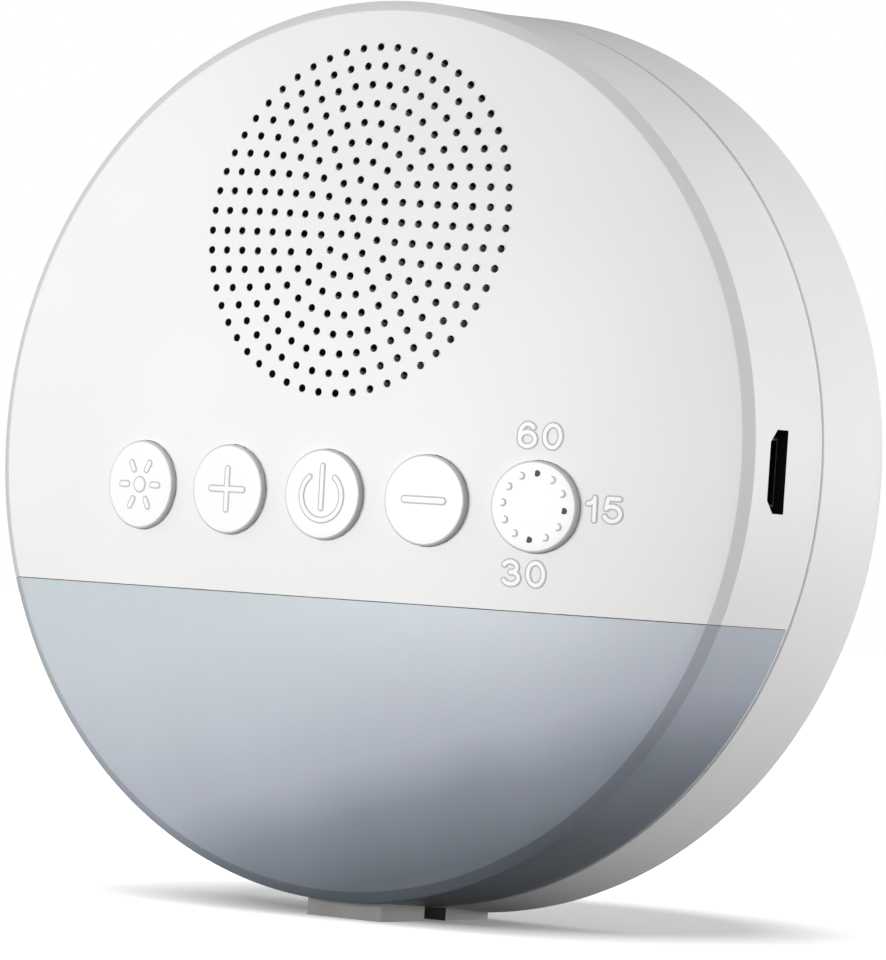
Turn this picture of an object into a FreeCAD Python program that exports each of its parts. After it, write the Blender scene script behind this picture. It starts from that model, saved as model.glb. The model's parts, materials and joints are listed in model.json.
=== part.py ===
# Round bedside sound machine: speaker grille, five push buttons and a night lamp
import FreeCAD, Part
import math
import os
import re
import Sketcher

Vector = FreeCAD.Vector

# Sizes in millimetres and degrees. Depth is counted from the top of the domed front
# towards the rear, height from the centre line of the round case.
SIZES = {
    # Case
    "dome_radius": 178.5,
    "parting_radius": 51.6,
    "side_flare": 0.6,
    "bevel_width": 1.2,
    "bevel_depth": 0.86,
    "parting_depth": 21.65,
    "parting_gap": 0.5,
    "rear_flare": 0.8,
    "rear_round": 3.0,
    "rear_edge_depth": 36.2,
    "case_depth": 38.8,
    "wall": 2.0,
    "tongue_length": 2.1,
    "tongue_wall": 1.3,
    "tongue_clearance": 0.25,
    "lamp_split": 17.0,
    "split_gap": 0.4,
    "piece_gap": 0.3,
    # Grille and speaker
    "speaker_side": 0.5,
    "speaker_height": 25.7,
    "hole_radius": 0.475,
    "hole_pitch": 2.2,
    "hole_rings": 9,
    "hole_turn": -3.95,
    "hole_swirl": 0.23,
    "cloth_thick": 0.3,
    "seat_width": 1.5,
    "seat_depth": 8.6,
    "lip_wall": 1.0,
    "lip_length": 1.2,
    "gasket_thick": 0.4,
    "flange_radius": 22.0,
    "flange_thick": 0.8,
    "basket_depth": 8.0,
    "basket_radius": 13.4,
    "basket_window": 9.0,
    "surround_radius": 18.3,
    "surround_roll": 2.3,
    "surround_thick": 0.3,
    "cone_slope_depth": 3.1,
    "cone_thick": 0.4,
    "coil_radius": 6.85,
    "coil_wall": 0.5,
    "coil_length": 6.3,
    "coil_gap": 0.35,
    "plate_radius": 13.0,
    "plate_thick": 2.0,
    "magnet_radius": 14.0,
    "magnet_bore": 8.6,
    "magnet_thick": 4.6,
    "yoke_radius": 13.4,
    "yoke_thick": 1.8,
    "clamp_radius": 24.2,
    "clamp_turn": 35.0,
    "clamp_boss": 2.0,
    # Buttons and switches
    "button_count": 5,
    "button_pitch": 13.3,
    "button_middle": 0.65,
    "button_drop": 5.45,
    "cap_radius": 5.2,
    "cap_gap": 0.2,
    "cap_proud": 1.05,
    "cap_edge": 0.4,
    "cap_hollow": 4.2,
    "cap_floor": 3.4,
    "cap_flange": 0.9,
    "cap_flange_thick": 0.8,
    "cap_stem": 1.7,
    "sleeve_wall": 1.0,
    "sleeve_depth": 5.4,
    "button_travel": 0.5,
    "switch_side": 6.0,
    "switch_thick": 2.2,
    "plunger_radius": 1.5,
    "plunger_length": 2.1,
    "plunger_gap": 0.1,
    "plunger_proud": 0.8,
    # Boards, socket and battery
    "board_depth": 9.9,
    "board_thick": 1.6,
    "board_left": 38.5,
    "board_right": 42.5,
    "board_top": 1.5,
    "board_bottom": 15.3,
    "board_tab_start": 34.0,
    "board_tab_gap": 2.0,
    "board_tab_half": 6.2,
    "board_boss": 2.2,
    "socket_wide": 7.5,
    "socket_thick": 2.6,
    "socket_length": 5.5,
    "socket_wall": 0.25,
    "socket_inset": 1.2,
    "socket_chamfer": 0.9,
    "slot_wide": 9.2,
    "slot_thick": 3.6,
    "battery_wide": 50.0,
    "battery_high": 34.0,
    "battery_thick": 5.0,
    "battery_depth": 28.5,
    "battery_round": 1.5,
    "header_height": 5.5,
    "wire_radius": 0.5,
    "tape_thick": 0.5,
    # Lamp
    "shelf_above": 1.0,
    "tray_wall": 1.2,
    "tray_depth": 17.4,
    "lamp_board_wide": 52.0,
    "lamp_board_high": 7.0,
    "lamp_board_thick": 1.0,
    "lamp_board_drop": 31.0,
    "led_count": 6,
    "led_pitch": 9.0,
    "led_wide": 3.5,
    "led_high": 2.8,
    "led_thick": 0.8,
    # Screws and feet
    "screw_radius": 1.15,
    "screw_head": 2.3,
    "screw_head_thick": 1.6,
    "screw_reach": 10.0,
    "screw_gap": 0.05,
    "small_screw": 0.95,
    "small_head": 1.8,
    "small_head_thick": 1.2,
    "small_reach": 4.0,
    "strip_head": 1.5,
    "strip_head_thick": 0.8,
    "strip_reach": 2.0,
    "clamp_head": 2.6,
    "clamp_reach": 3.2,
    "recess_radius": 2.6,
    "boss_radius": 2.8,
    "post_radius": 3.6,
    "post_depth": 20.6,
    "post_floor": 2.4,
    "boss_step": 1.0,
    "screw_inset": 6.7,
    "upper_screw_turn": 32.3,
    "lower_screw_turn": 43.4,
    "foot_clear": 0.6,
    "foot_wide": 10.0,
    "foot_long": 9.0,
    "front_foot_depth": 10.5,
    "rear_foot_depth": 24.0,
}

# Sizes that follow from the ones above
DERIVED = {
    "bevel_radius": "parting_radius - side_flare",
    "edge_radius": "bevel_radius - bevel_width",
    "rear_radius": "parting_radius + rear_flare",
    "edge_depth": "dome_radius - sqrt(dome_radius^2 - edge_radius^2)",
    "bevel_end": "edge_depth + bevel_depth",
    "front_end": "parting_depth - parting_gap / 2",
    "rear_start": "parting_depth + parting_gap / 2",
    "rear_turn": "rear_radius - rear_round",
    "rear_turn_depth": "rear_edge_depth - rear_round",
    "crown_rise": "case_depth - rear_edge_depth",
    "crown_radius": "(rear_turn^2 + crown_rise^2) / (2 * crown_rise)",
    "crown_centre": "case_depth - crown_radius",
    "tongue_radius": "parting_radius - wall - tongue_clearance",
    "tongue_start": "front_end - tongue_length",
    "axis_height": "rear_radius + foot_clear",
    "middle_depth": "(case_depth - cap_proud) / 2",
    "seat_inner": "flange_radius + piece_gap / 2 - seat_width",
    "lip_inner": "flange_radius + piece_gap / 2",
    "flange_front": "seat_depth + gasket_thick",
    "flange_rear": "flange_front + flange_thick",
    "basket_end": "flange_front + basket_depth",
    "surround_inner": "surround_radius - surround_roll",
    "surround_depth": "flange_front + 0.75 * flange_thick",
    "cone_radius": "surround_inner - piece_gap",
    "cone_front": "flange_rear + 0.1",
    "coil_inner": "coil_radius - coil_wall",
    "coil_start": "cone_front + cone_slope_depth - cone_thick / 4",
    "pole_radius": "coil_inner - coil_gap",
    "gap_radius": "coil_radius + coil_gap",
    "plate_end": "basket_end + plate_thick",
    "magnet_end": "plate_end + magnet_thick",
    "bore_radius": "cap_radius + cap_gap",
    "sleeve_radius": "bore_radius + sleeve_wall",
    "flange_start": "sleeve_depth + piece_gap",
    "flange_end": "flange_start + cap_flange_thick",
    "switch_front": "board_depth - switch_thick",
    "plunger_front": "switch_front - plunger_proud",
    "board_rear": "board_depth + board_thick",
    "board_tab_end": "parting_radius - wall - board_tab_gap",
    "socket_middle": "board_rear + socket_thick / 2",
    "slot_chamfer": "socket_chamfer + (slot_thick - socket_thick) / 2",
    "socket_end": "parting_radius - socket_inset - piece_gap",
    "battery_end": "battery_depth + battery_thick",
    "shelf_top": "shelf_above - lamp_split",
    "tray_end": "tray_depth + tray_wall",
    "boss_end": "post_depth - piece_gap / 2",
    "head_seat": "post_depth + post_floor",
    "screw_circle": "parting_radius - screw_inset",
    "upper_screw_side": "screw_circle * cos(upper_screw_turn)",
    "upper_screw_height": "screw_circle * sin(upper_screw_turn)",
    "lower_screw_side": "screw_circle * cos(lower_screw_turn)",
    "lower_screw_drop": "screw_circle * sin(lower_screw_turn)",
    "ground": "-axis_height",
}

WORD = re.compile(r"[A-Za-z_][A-Za-z_0-9]*")

doc = FreeCAD.newDocument("sound_machine")
sheet = doc.addObject("Spreadsheet::Sheet", "Sizes")
for row, (alias, size) in enumerate(SIZES.items(), start=1):
    sheet.set(f"A{row}", alias)
    sheet.set(f"B{row}", str(size))
    sheet.setAlias(f"B{row}", alias)
doc.recompute()


def formula(text):
    """Writes a size in words out as an expression on the sheet's cells."""

    def cell(match):
        word = match.group(0)
        if word in DERIVED:
            return "(" + formula(DERIVED[word]) + ")"
        return "Sizes." + word if word in SIZES else word

    return WORD.sub(cell, str(text))


def number(text):
    """The value of a size in words."""
    value = sheet.evalExpression(formula(text))
    return float(getattr(value, "Value", value))


def minus(text):
    return f"-({text})"


def bind(thing, **sizes):
    for name, text in sizes.items():
        thing.setExpression(name, formula(text))
    return thing


def move(thing, x="0", y="0", z="0", turn=FreeCAD.Rotation()):
    """Puts a piece at a place in the case, bound to the sheet."""
    thing.Placement = FreeCAD.Placement(Vector(number(x), number(y), number(z)), turn)
    for axis, text in zip("xyz", (x, y, z)):
        thing.setExpression(f"Placement.Base.{axis}", formula(text))
    return thing


ALONG_DEPTH = FreeCAD.Rotation(Vector(1, 0, 0), -90)
# A turned piece's seam line is kept away from holes
SEAM_ASIDE = FreeCAD.Rotation(Vector(0, 1, 0), -20)


def rod(name, radius, start, end, x="0", z="0"):
    """Round bar from one depth to another."""
    bar = bind(doc.addObject("Part::Cylinder", name), Radius=radius, Height=f"({end}) - ({start})")
    return move(bar, x, start, z, ALONG_DEPTH)


def block(name, x_range, y_range, z_range):
    """Box between two corners."""
    sides = [f"({high}) - ({low})" for low, high in (x_range, y_range, z_range)]
    box = bind(doc.addObject("Part::Box", name), Length=sides[0], Width=sides[1], Height=sides[2])
    return move(box, x_range[0], y_range[0], z_range[0])


def centred(middle, width):
    return f"({middle}) - ({width}) / 2", f"({middle}) + ({width}) / 2"


def join(name, *pieces):
    fusion = doc.addObject("Part::MultiFuse", name)
    fusion.Shapes = list(pieces)
    return fusion


def group(name, pieces):
    compound = doc.addObject("Part::Compound", name)
    compound.Links = list(pieces)
    return compound


def cut(name, base, tool):
    result = doc.addObject("Part::Cut", name)
    result.Base = base
    result.Tool = tool
    return result


def overlap(name, base, tool):
    result = doc.addObject("Part::Common", name)
    result.Base = base
    result.Tool = tool
    return result


def rounded(name, base, radius, chosen):
    """Rounds the edges of a piece that the chosen test picks."""
    doc.recompute()
    size = number(radius)
    edges = [(i, size, size) for i, edge in enumerate(base.Shape.Edges, start=1) if chosen(edge)]
    fillet = doc.addObject("Part::Fillet", name)
    fillet.Base = base
    fillet.Edges = edges
    return fillet


def arc_between(start, end, radius, side):
    """Arc from start to end with its centre on the left (side 1) or the right (side -1)."""
    chord = end - start
    reach = math.sqrt(max(radius**2 - (chord.Length / 2) ** 2, 0))
    left = Vector(-chord.y, chord.x, 0).normalize()
    centre = (start + end) / 2 + left * reach * side
    first, last = (start, end) if side > 0 else (end, start)
    angles = [math.atan2(p.y - centre.y, p.x - centre.x) for p in (first, last)]
    return Part.ArcOfCircle(Part.Circle(centre, Vector(0, 0, 1), radius), *angles)


def outline_sketch(body, plane, corners):
    """Closed sketch through the corners, each (across, along) or, at the end of an arc,
    (across, along, radius, side)."""
    sketch = body.newObject("Sketcher::SketchObject", body.Name + "_outline")
    base = next(f for f in body.Origin.OriginFeatures if f.Role == plane)
    sketch.AttachmentSupport = [(base, "")]
    sketch.MapMode = "FlatFace"
    places = [Vector(number(c[0]), number(c[1]), 0) for c in corners]
    ends = []
    for i, corner in enumerate(corners):
        start, end = places[i - 1], places[i]
        if len(corner) == 2:
            sketch.addGeometry(Part.LineSegment(start, end), False)
            ends.append((1, 2))
        else:
            sketch.addGeometry(arc_between(start, end, number(corner[2]), corner[3]), False)
            ends.append((1, 2) if corner[3] > 0 else (2, 1))
    for i, corner in enumerate(corners):
        following = (i + 1) % len(corners)
        sketch.addConstraint(
            Sketcher.Constraint("Coincident", i, ends[i][1], following, ends[following][0])
        )
        for kind, text, axis in (("DistanceX", corner[0], -2), ("DistanceY", corner[1], -1)):
            if text == "0":
                sketch.addConstraint(Sketcher.Constraint("PointOnObject", i, ends[i][1], axis))
                continue
            rule = Sketcher.Constraint(kind, -1, 1, i, ends[i][1], number(text))
            at = sketch.addConstraint(rule)
            sketch.setExpression(f"Constraints[{at}]", formula(text))
        if len(corner) > 2:
            at = sketch.addConstraint(Sketcher.Constraint("Radius", i, number(corner[2])))
            sketch.setExpression(f"Constraints[{at}]", formula(corner[2]))
    return sketch


def turned(name, corners, x="0", z="0"):
    """Piece turned about a front-to-rear axis; its corners are (radius, depth)."""
    body = doc.addObject("PartDesign::Body", name)
    sketch = outline_sketch(body, "XY_Plane", corners)
    spin = body.newObject("PartDesign::Revolution", name + "_turn")
    spin.Profile = sketch
    spin.ReferenceAxis = (sketch, ["V_Axis"])
    spin.Angle = 360
    return move(body, x, "0", z, SEAM_ASIDE)


def plate(name, plane, corners, length, x="0", y="0", z="0"):
    """Flat piece: an outline padded towards the rear (XZ_Plane) or the right (YZ_Plane)."""
    body = doc.addObject("PartDesign::Body", name)
    sketch = outline_sketch(body, plane, corners)
    pad = body.newObject("PartDesign::Pad", name + "_pad")
    pad.Profile = sketch
    pad.Reversed = plane == "XZ_Plane"
    pad.setExpression("Length", formula(length))
    return move(body, x, y, z)


NODES = []


def node(name, piece, x="0", z="0"):
    """Names a finished piece and puts it in the product's frame."""
    piece.Label = name
    base = ("0", "0", "0")
    if piece.TypeId == "PartDesign::Body" or piece.TypeId in ("Part::Cylinder", "Part::Box"):
        base = [str(v) for v in piece.Placement.Base]
        base = [dict(piece.ExpressionEngine).get(f".Placement.Base.{a}", b) for a, b in zip("xyz", base)]
    offset = ("0", formula("-middle_depth"), formula("axis_height"))
    turn = piece.Placement.Rotation
    piece.Placement = FreeCAD.Placement(Vector(), turn)
    for axis, start, shift in zip("xyz", base, offset):
        piece.setExpression(f"Placement.Base.{axis}", f"({start}) + ({shift})")
    NODES.append(piece)
    return piece


def dome_depth(radius, inset="0"):
    """Depth of the domed front, or of a surface inset behind it, at a radius."""
    return f"dome_radius - sqrt((dome_radius - ({inset}))^2 - ({radius})^2)"


def front_core(name, inset):
    """Solid that fills the front of the case up to an inset from its outer faces."""
    corner = f"bevel_radius - ({inset})"
    return turned(name, [
        ("0", inset),
        (corner, dome_depth(corner, inset), f"dome_radius - ({inset})", 1),
        (f"parting_radius - ({inset})", "front_end"),
        ("0", "front_end"),
    ])


def rear_core(name, inset, start):
    """Solid that fills the rear of the case up to an inset from its outer faces."""
    return turned(name, [
        ("0", start),
        (f"parting_radius - ({inset})", start),
        (f"parting_radius - ({inset})", "rear_start"),
        (f"rear_radius - ({inset})", "rear_turn_depth"),
        ("rear_turn", f"crown_centre + sqrt((crown_radius - ({inset}))^2 - rear_turn^2)"),
        ("0", f"case_depth - ({inset})", f"crown_radius - ({inset})", 1),
    ])


def button_places():
    """Centre of each button, from left to right."""
    names = ("light", "plus", "power", "minus", "timer")
    count = int(number("button_count"))
    first = -(count - 1) / 2
    return [(names[i], f"button_middle + button_pitch * {first + i}", "-button_drop") for i in range(count)]


BUTTONS = button_places()
CASE_SCREWS = {
    "upper_left": ("-upper_screw_side", "upper_screw_height"),
    "upper_right": ("upper_screw_side", "upper_screw_height"),
    "lower_left": ("-lower_screw_side", "-lower_screw_drop"),
    "lower_right": ("lower_screw_side", "-lower_screw_drop"),
}
BOARD_SCREWS = {
    "top_left": ("2.9 - board_left", "board_top - 2.7"),
    "bottom_left": ("2.9 - board_left", "2.7 - board_bottom"),
    "bottom_right": ("board_right - 3.9", "2.7 - board_bottom"),
    "top_right": ("board_right - 3.9", "board_tab_half - 3.2"),
}
CLAMP_SCREWS = {
    f"clamp_{i}": (
        f"speaker_side + clamp_radius * {side} * cos(clamp_turn)",
        f"speaker_height + clamp_radius * {rise} * sin(clamp_turn)",
    )
    for i, (side, rise) in enumerate(((1, 1), (-1, 1), (-1, -1), (1, -1)), start=1)
}
TRAY_SCREWS = {"tray_left": ("-led_pitch", "-lamp_board_drop"), "tray_right": ("led_pitch", "-lamp_board_drop")}


def grille_cutter():
    """Hexagonal pins in rings about the grille's centre, each ring turned a little further."""
    pitch, radius = number("hole_pitch"), number("hole_radius")
    middle = Vector(number("speaker_side"), -1, number("speaker_height"))
    reach = Vector(0, number("seat_depth") + 1, 0)
    places = [middle]
    for ring in range(1, int(number("hole_rings")) + 1):
        turn = number("hole_turn") + number("hole_swirl") * ring
        for i in range(6 * ring):
            angle = math.radians(60 * i / ring + turn)
            places.append(middle + Vector(math.cos(angle), 0, math.sin(angle)) * pitch * ring)
    pins = []
    for place in places:
        rim = [
            place + Vector(math.cos(a), 0, math.sin(a)) * radius
            for a in (math.radians(60 * i) for i in range(7))
        ]
        pins.append(Part.Face(Part.makePolygon(rim)).extrude(reach))
    cutter = doc.addObject("Part::Feature", "grille_pins")
    cutter.Shape = Part.makeCompound(pins)
    return cutter


def socket_outline(wide, thick, chamfer):
    """D-shaped outline of the charging socket, its chamfers towards the front."""
    return [
        (f"socket_middle - ({thick}) / 2", f"({chamfer}) - ({wide}) / 2"),
        (f"socket_middle - ({thick}) / 2 + ({chamfer})", f"-({wide}) / 2"),
        (f"socket_middle + ({thick}) / 2", f"-({wide}) / 2"),
        (f"socket_middle + ({thick}) / 2", f"({wide}) / 2"),
        (f"socket_middle - ({thick}) / 2 + ({chamfer})", f"({wide}) / 2"),
        (f"socket_middle - ({thick}) / 2", f"({wide}) / 2 - ({chamfer})"),
    ]


def front_shell():
    """Domed front wall with its bevel and side wall."""
    inner = "bevel_radius - wall"
    return turned("front_shell", [
        ("0", "0"),
        ("edge_radius", "edge_depth", "dome_radius", 1),
        ("bevel_radius", "bevel_end"),
        ("parting_radius", "front_end"),
        ("parting_radius - wall", "front_end"),
        (inner, dome_depth(inner, "wall")),
        ("0", "wall", "dome_radius - wall", -1),
    ])


def below_split(name, shift):
    """Everything below the lamp's upper edge."""
    return block(
        name,
        ("-2 * rear_radius", "2 * rear_radius"),
        ("-case_depth", "2 * case_depth"),
        ("-2 * rear_radius", f"-lamp_split + ({shift})"),
    )


def make_front_housing(shell):
    ribs = [rod(f"{name}_sleeve", "sleeve_radius", "0", "sleeve_depth", x, z) for name, x, z in BUTTONS]
    ribs += [rod(f"{name}_post", "board_boss", "0", "board_depth", *at) for name, at in BOARD_SCREWS.items()]
    ribs += [rod(f"{name}_post", "clamp_boss", "0", "flange_rear", *at) for name, at in CLAMP_SCREWS.items()]
    for name in ("upper_left", "upper_right"):
        ribs.append(rod(f"{name}_boss", "boss_radius", "0", "boss_end", *CASE_SCREWS[name]))
    ribs.append(turned("speaker_seat", [
        ("seat_inner", "0"),
        ("lip_inner + lip_wall", "0"),
        ("lip_inner + lip_wall", "seat_depth + lip_length"),
        ("lip_inner", "seat_depth + lip_length"),
        ("lip_inner", "seat_depth"),
        ("seat_inner", "seat_depth"),
    ], "speaker_side", "speaker_height"))
    inside = overlap("front_ribs", join("front_rib_set", *ribs), front_core("front_middle", "wall / 2"))
    solid = join("front_with_ribs", shell, inside)
    holes = [rod(f"{name}_bore", "bore_radius", "-case_depth", "case_depth", x, z) for name, x, z in BUTTONS]
    for name, at in BOARD_SCREWS.items():
        start = "board_rear - small_reach - piece_gap"
        holes.append(rod(f"{name}_pilot", "small_screw + screw_gap", start, "case_depth", *at))
    for name, at in CLAMP_SCREWS.items():
        start = "flange_rear - small_reach + piece_gap"
        holes.append(rod(f"{name}_pilot", "small_screw + screw_gap", start, "case_depth", *at))
    for name in ("upper_left", "upper_right"):
        start = "head_seat - screw_reach - piece_gap"
        holes.append(rod(f"{name}_pilot", "screw_radius + screw_gap", start, "case_depth", *CASE_SCREWS[name]))
    outline = socket_outline("slot_wide", "slot_thick", "slot_chamfer")
    holes.append(plate("socket_slot", "YZ_Plane", outline, "2 * wall + piece_gap", "parting_radius - 2 * wall"))
    holes.append(grille_cutter())
    holes.append(below_split("front_trim", "split_gap / 2"))
    return node("front_housing", cut("front_cut", solid, group("front_holes", holes)))


def make_lamp_diffuser(shell):
    bosses = []
    pilots = []
    for name in ("lower_left", "lower_right"):
        at = CASE_SCREWS[name]
        bosses.append(rod(f"{name}_boss", "boss_radius", "0", "boss_end", *at))
        bosses.append(rod(f"{name}_shoulder", "boss_radius + boss_step", "0", "tray_depth", *at))
        start = "head_seat - screw_reach - piece_gap"
        pilots.append(rod(f"{name}_pilot", "screw_radius + screw_gap", start, "case_depth", *at))
    inside = overlap("lamp_bosses", join("lamp_boss_set", *bosses), front_core("lamp_middle", "wall / 2"))
    solid = cut("lamp_solid", join("lamp_with_bosses", shell, inside), group("lamp_pilots", pilots))
    return node("lamp_diffuser", overlap("lamp_cut", solid, below_split("lamp_trim", "-split_gap / 2")))


def make_lamp_reflector():
    """White tray behind the lamp: a shelf along the split and a back plate."""
    shelf = block(
        "tray_shelf",
        ("-2 * rear_radius", "2 * rear_radius"),
        ("0", "tray_end"),
        ("shelf_top - 2 * tray_wall", "shelf_top"),
    )
    back = block(
        "tray_back",
        ("-2 * rear_radius", "2 * rear_radius"),
        ("tray_depth", "tray_end"),
        ("-2 * rear_radius", "shelf_top"),
    )
    inside = front_core("tray_space", "wall + piece_gap")
    tray = overlap("tray_form", join("tray_walls", shelf, back), inside)
    holes = [
        rod(f"{name}_pass", "boss_radius + piece_gap / 2", "0", "case_depth", *CASE_SCREWS[name])
        for name in ("lower_left", "lower_right")
    ]
    holes += [
        rod(f"{name}_pilot", "small_screw + screw_gap", "0", "case_depth", *at)
        for name, at in TRAY_SCREWS.items()
    ]
    holes.append(block(
        "lead_notch",
        ("-2.5 * led_pitch", "-1.8 * led_pitch"),
        ("tray_depth - 4", "tray_depth - 1"),
        ("-2 * lamp_split", "0"),
    ))
    return node("lamp_reflector", cut("tray_cut", tray, group("tray_holes", holes)))


def make_rear_housing():
    """Rear shell with its tongue, screw posts and battery rails."""
    inner_start = "rear_start + wall"
    shell = turned("rear_shell", [
        ("parting_radius", "rear_start"),
        ("rear_radius", "rear_turn_depth"),
        ("rear_turn", "rear_edge_depth", "rear_round", 1),
        ("0", "case_depth", "crown_radius", 1),
        ("0", "case_depth - wall"),
        ("rear_turn", "crown_centre + sqrt((crown_radius - wall)^2 - rear_turn^2)", "crown_radius - wall", -1),
        ("rear_radius - wall", "rear_turn_depth"),
        ("parting_radius - wall", inner_start),
        ("tongue_radius - tongue_wall", "rear_start + wall / 2"),
        ("tongue_radius - tongue_wall", "tongue_start"),
        ("tongue_radius", "tongue_start"),
        ("tongue_radius", "rear_start"),
    ])
    ribs = [rod(f"{name}_tube", "post_radius", "post_depth", "case_depth", *at) for name, at in CASE_SCREWS.items()]
    for side in (-1, 1):
        ribs.append(block(
            "battery_rail_left" if side < 0 else "battery_rail_right",
            centred(f"{side} * battery_wide / 3", "1.5 * wall"),
            ("battery_end + tape_thick", "case_depth"),
            centred("speaker_height - battery_high * 0.725", "0.8 * battery_high"),
        ))
    inside = overlap("rear_ribs", join("rear_rib_set", *ribs), rear_core("rear_middle", "wall / 2", "parting_depth / 2"))
    holes = []
    for name, at in CASE_SCREWS.items():
        holes.append(rod(f"{name}_way", "screw_radius + piece_gap", "parting_depth / 2", "2 * case_depth", *at))
        holes.append(rod(f"{name}_recess", "recess_radius", "head_seat", "2 * case_depth", *at))
    drills = join("rear_drills", *holes)
    return node("rear_housing", cut("rear_cut", join("rear_with_ribs", shell, inside), drills))


def make_feet():
    front = block(
        "front_foot_block",
        centred("0", "foot_wide"),
        ("front_foot_depth", "front_foot_depth + foot_long"),
        ("ground", "4 * foot_clear - parting_radius"),
    )
    rear = block(
        "rear_foot_block",
        centred("0", "foot_wide"),
        ("rear_foot_depth", "rear_foot_depth + foot_long"),
        ("ground", "4 * foot_clear - parting_radius"),
    )
    node("front_foot", cut("front_foot_cut", front, turned("front_outside", [
        ("0", "edge_depth"),
        ("edge_radius", "edge_depth"),
        ("bevel_radius", "bevel_end"),
        ("parting_radius", "front_end"),
        ("0", "front_end"),
    ])))
    node("rear_foot", cut("rear_foot_cut", rear, turned("rear_outside", [
        ("0", "rear_start"),
        ("parting_radius", "rear_start"),
        ("rear_radius", "rear_turn_depth"),
        ("0", "rear_turn_depth"),
    ])))


def speaker_part(name, corners):
    return node(name, turned(name + "_form", corners, "speaker_side", "speaker_height"))


def ring(name, inner, outer, start, end):
    return speaker_part(name, [(inner, start), (outer, start), (outer, end), (inner, end)])


def make_speaker():
    outer = bind(doc.addObject("Part::Sphere", "cloth_outer"), Radius="dome_radius - wall - 0.05")
    inner = bind(doc.addObject("Part::Sphere", "cloth_inner"), Radius="dome_radius - wall - 0.05 - cloth_thick")
    skin = cut("cloth_skin", move(outer, "0", "dome_radius", "0"), move(inner, "0", "dome_radius", "0"))
    window = rod("cloth_window", "seat_inner - piece_gap", "0", "seat_depth", "speaker_side", "speaker_height")
    node("grille_cloth", overlap("cloth_cut", skin, window))
    ring("speaker_gasket", "seat_inner", "flange_radius", "seat_depth", "flange_front")
    basket = turned("basket", [
        ("surround_radius + 0.1", "flange_front"),
        ("flange_radius", "flange_front"),
        ("flange_radius", "flange_rear"),
        ("surround_radius + flange_thick", "flange_rear"),
        ("basket_radius + flange_thick", "basket_end"),
        ("magnet_bore", "basket_end"),
        ("magnet_bore", "basket_end - flange_thick"),
        ("basket_radius", "basket_end - flange_thick"),
        ("surround_radius + 0.1", "flange_rear"),
    ], "speaker_side", "speaker_height")
    windows = []
    for name, wide, high in (("side", "2 * flange_radius", "basket_window"), ("end", "basket_window", "2 * flange_radius")):
        windows.append(block(
            f"basket_{name}_windows",
            centred("speaker_side", wide),
            ("flange_rear + 2 * flange_thick", "basket_end - 2 * flange_thick"),
            centred("speaker_height", high),
        ))
    node("speaker_frame", cut("basket_cut", basket, join("basket_windows", *windows)))
    ring("speaker_top_plate", "gap_radius", "plate_radius", "basket_end", "plate_end")
    ring("speaker_magnet", "magnet_bore", "magnet_radius", "plate_end", "magnet_end")
    speaker_part("speaker_yoke", [
        ("0", "basket_end"),
        ("pole_radius", "basket_end"),
        ("pole_radius", "magnet_end"),
        ("yoke_radius", "magnet_end"),
        ("yoke_radius", "magnet_end + yoke_thick"),
        ("0", "magnet_end + yoke_thick"),
    ])
    ring("voice_coil", "coil_inner", "coil_radius", "coil_start", "coil_start + coil_length")
    speaker_part("speaker_cone", [
        ("coil_radius", "cone_front + cone_slope_depth"),
        ("cone_radius", "cone_front"),
        ("cone_radius", "cone_front + cone_thick"),
        ("coil_radius", "cone_front + cone_slope_depth + cone_thick"),
    ])
    rise = "coil_radius / 4"
    bulge = f"(coil_radius^2 + ({rise})^2) / (2 * ({rise}))"
    speaker_part("speaker_dust_cap", [
        ("0", f"coil_start - cone_thick - ({rise})"),
        ("coil_radius", "coil_start - cone_thick", bulge, 1),
        ("coil_radius", "coil_start"),
        ("0", f"coil_start - ({rise})", bulge, -1),
    ])
    roll = "0.52 * surround_roll"
    inner_roll = "0.52 * (surround_roll - 2 * surround_thick)"
    speaker_part("speaker_surround", [
        ("surround_inner", "surround_depth"),
        ("surround_radius", "surround_depth", roll, 1),
        ("surround_radius - surround_thick", "surround_depth"),
        ("surround_inner + surround_thick", "surround_depth", inner_roll, -1),
    ])
    waves = []
    for side in (0, 1):
        row = [
            (
                f"gap_radius + ({i} / 6) * (basket_radius - 2 - gap_radius)",
                f"basket_end - 3 * flange_thick + {side} * surround_thick + {i % 2} * surround_thick",
            )
            for i in range(7)
        ]
        waves.append(row if side == 0 else row[::-1])
    rim = [
        ("basket_radius - 0.4", "basket_end - 3 * flange_thick"),
        ("basket_radius - 0.4", "basket_end - flange_thick"),
        ("basket_radius - 2", "basket_end - flange_thick"),
    ]
    speaker_part("speaker_spider", waves[0] + rim + waves[1])
    strip = block(
        "terminal_strip",
        centred("speaker_side", "8"),
        ("flange_rear", "flange_rear + 5"),
        ("speaker_height - flange_radius + 1.2", "speaker_height - flange_radius + 2.4"),
    )
    tags = [
        block(
            f"terminal_tag_{i}",
            centred(f"speaker_side + ({2 * i - 1}) * 2", "1.6"),
            ("flange_rear + 2.6", "flange_rear + 3.0"),
            ("speaker_height - flange_radius - 0.6", "speaker_height - flange_radius + 1.8"),
        )
        for i in (0, 1)
    ]
    node("speaker_terminals", join("terminal_set", strip, *tags))


def screws(name, places, seat, size, head, head_thick, reach, head_to_rear=True):
    """Set of equal screws; the shank runs from the seat away from the head."""
    shank_range = (f"{seat} - {reach}", seat) if head_to_rear else (seat, f"{seat} + {reach}")
    head_range = (seat, f"{seat} + {head_thick}") if head_to_rear else (f"{seat} - {head_thick}", seat)
    pieces = []
    for place, at in places.items():
        shank = rod(f"{name}_{place}_shank", size, *shank_range, *at)
        top = rod(f"{name}_{place}_head", head, *head_range, *at)
        pieces.append(join(f"{name}_{place}", shank, top))
    return node(name, group(name + "_set", pieces))


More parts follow.
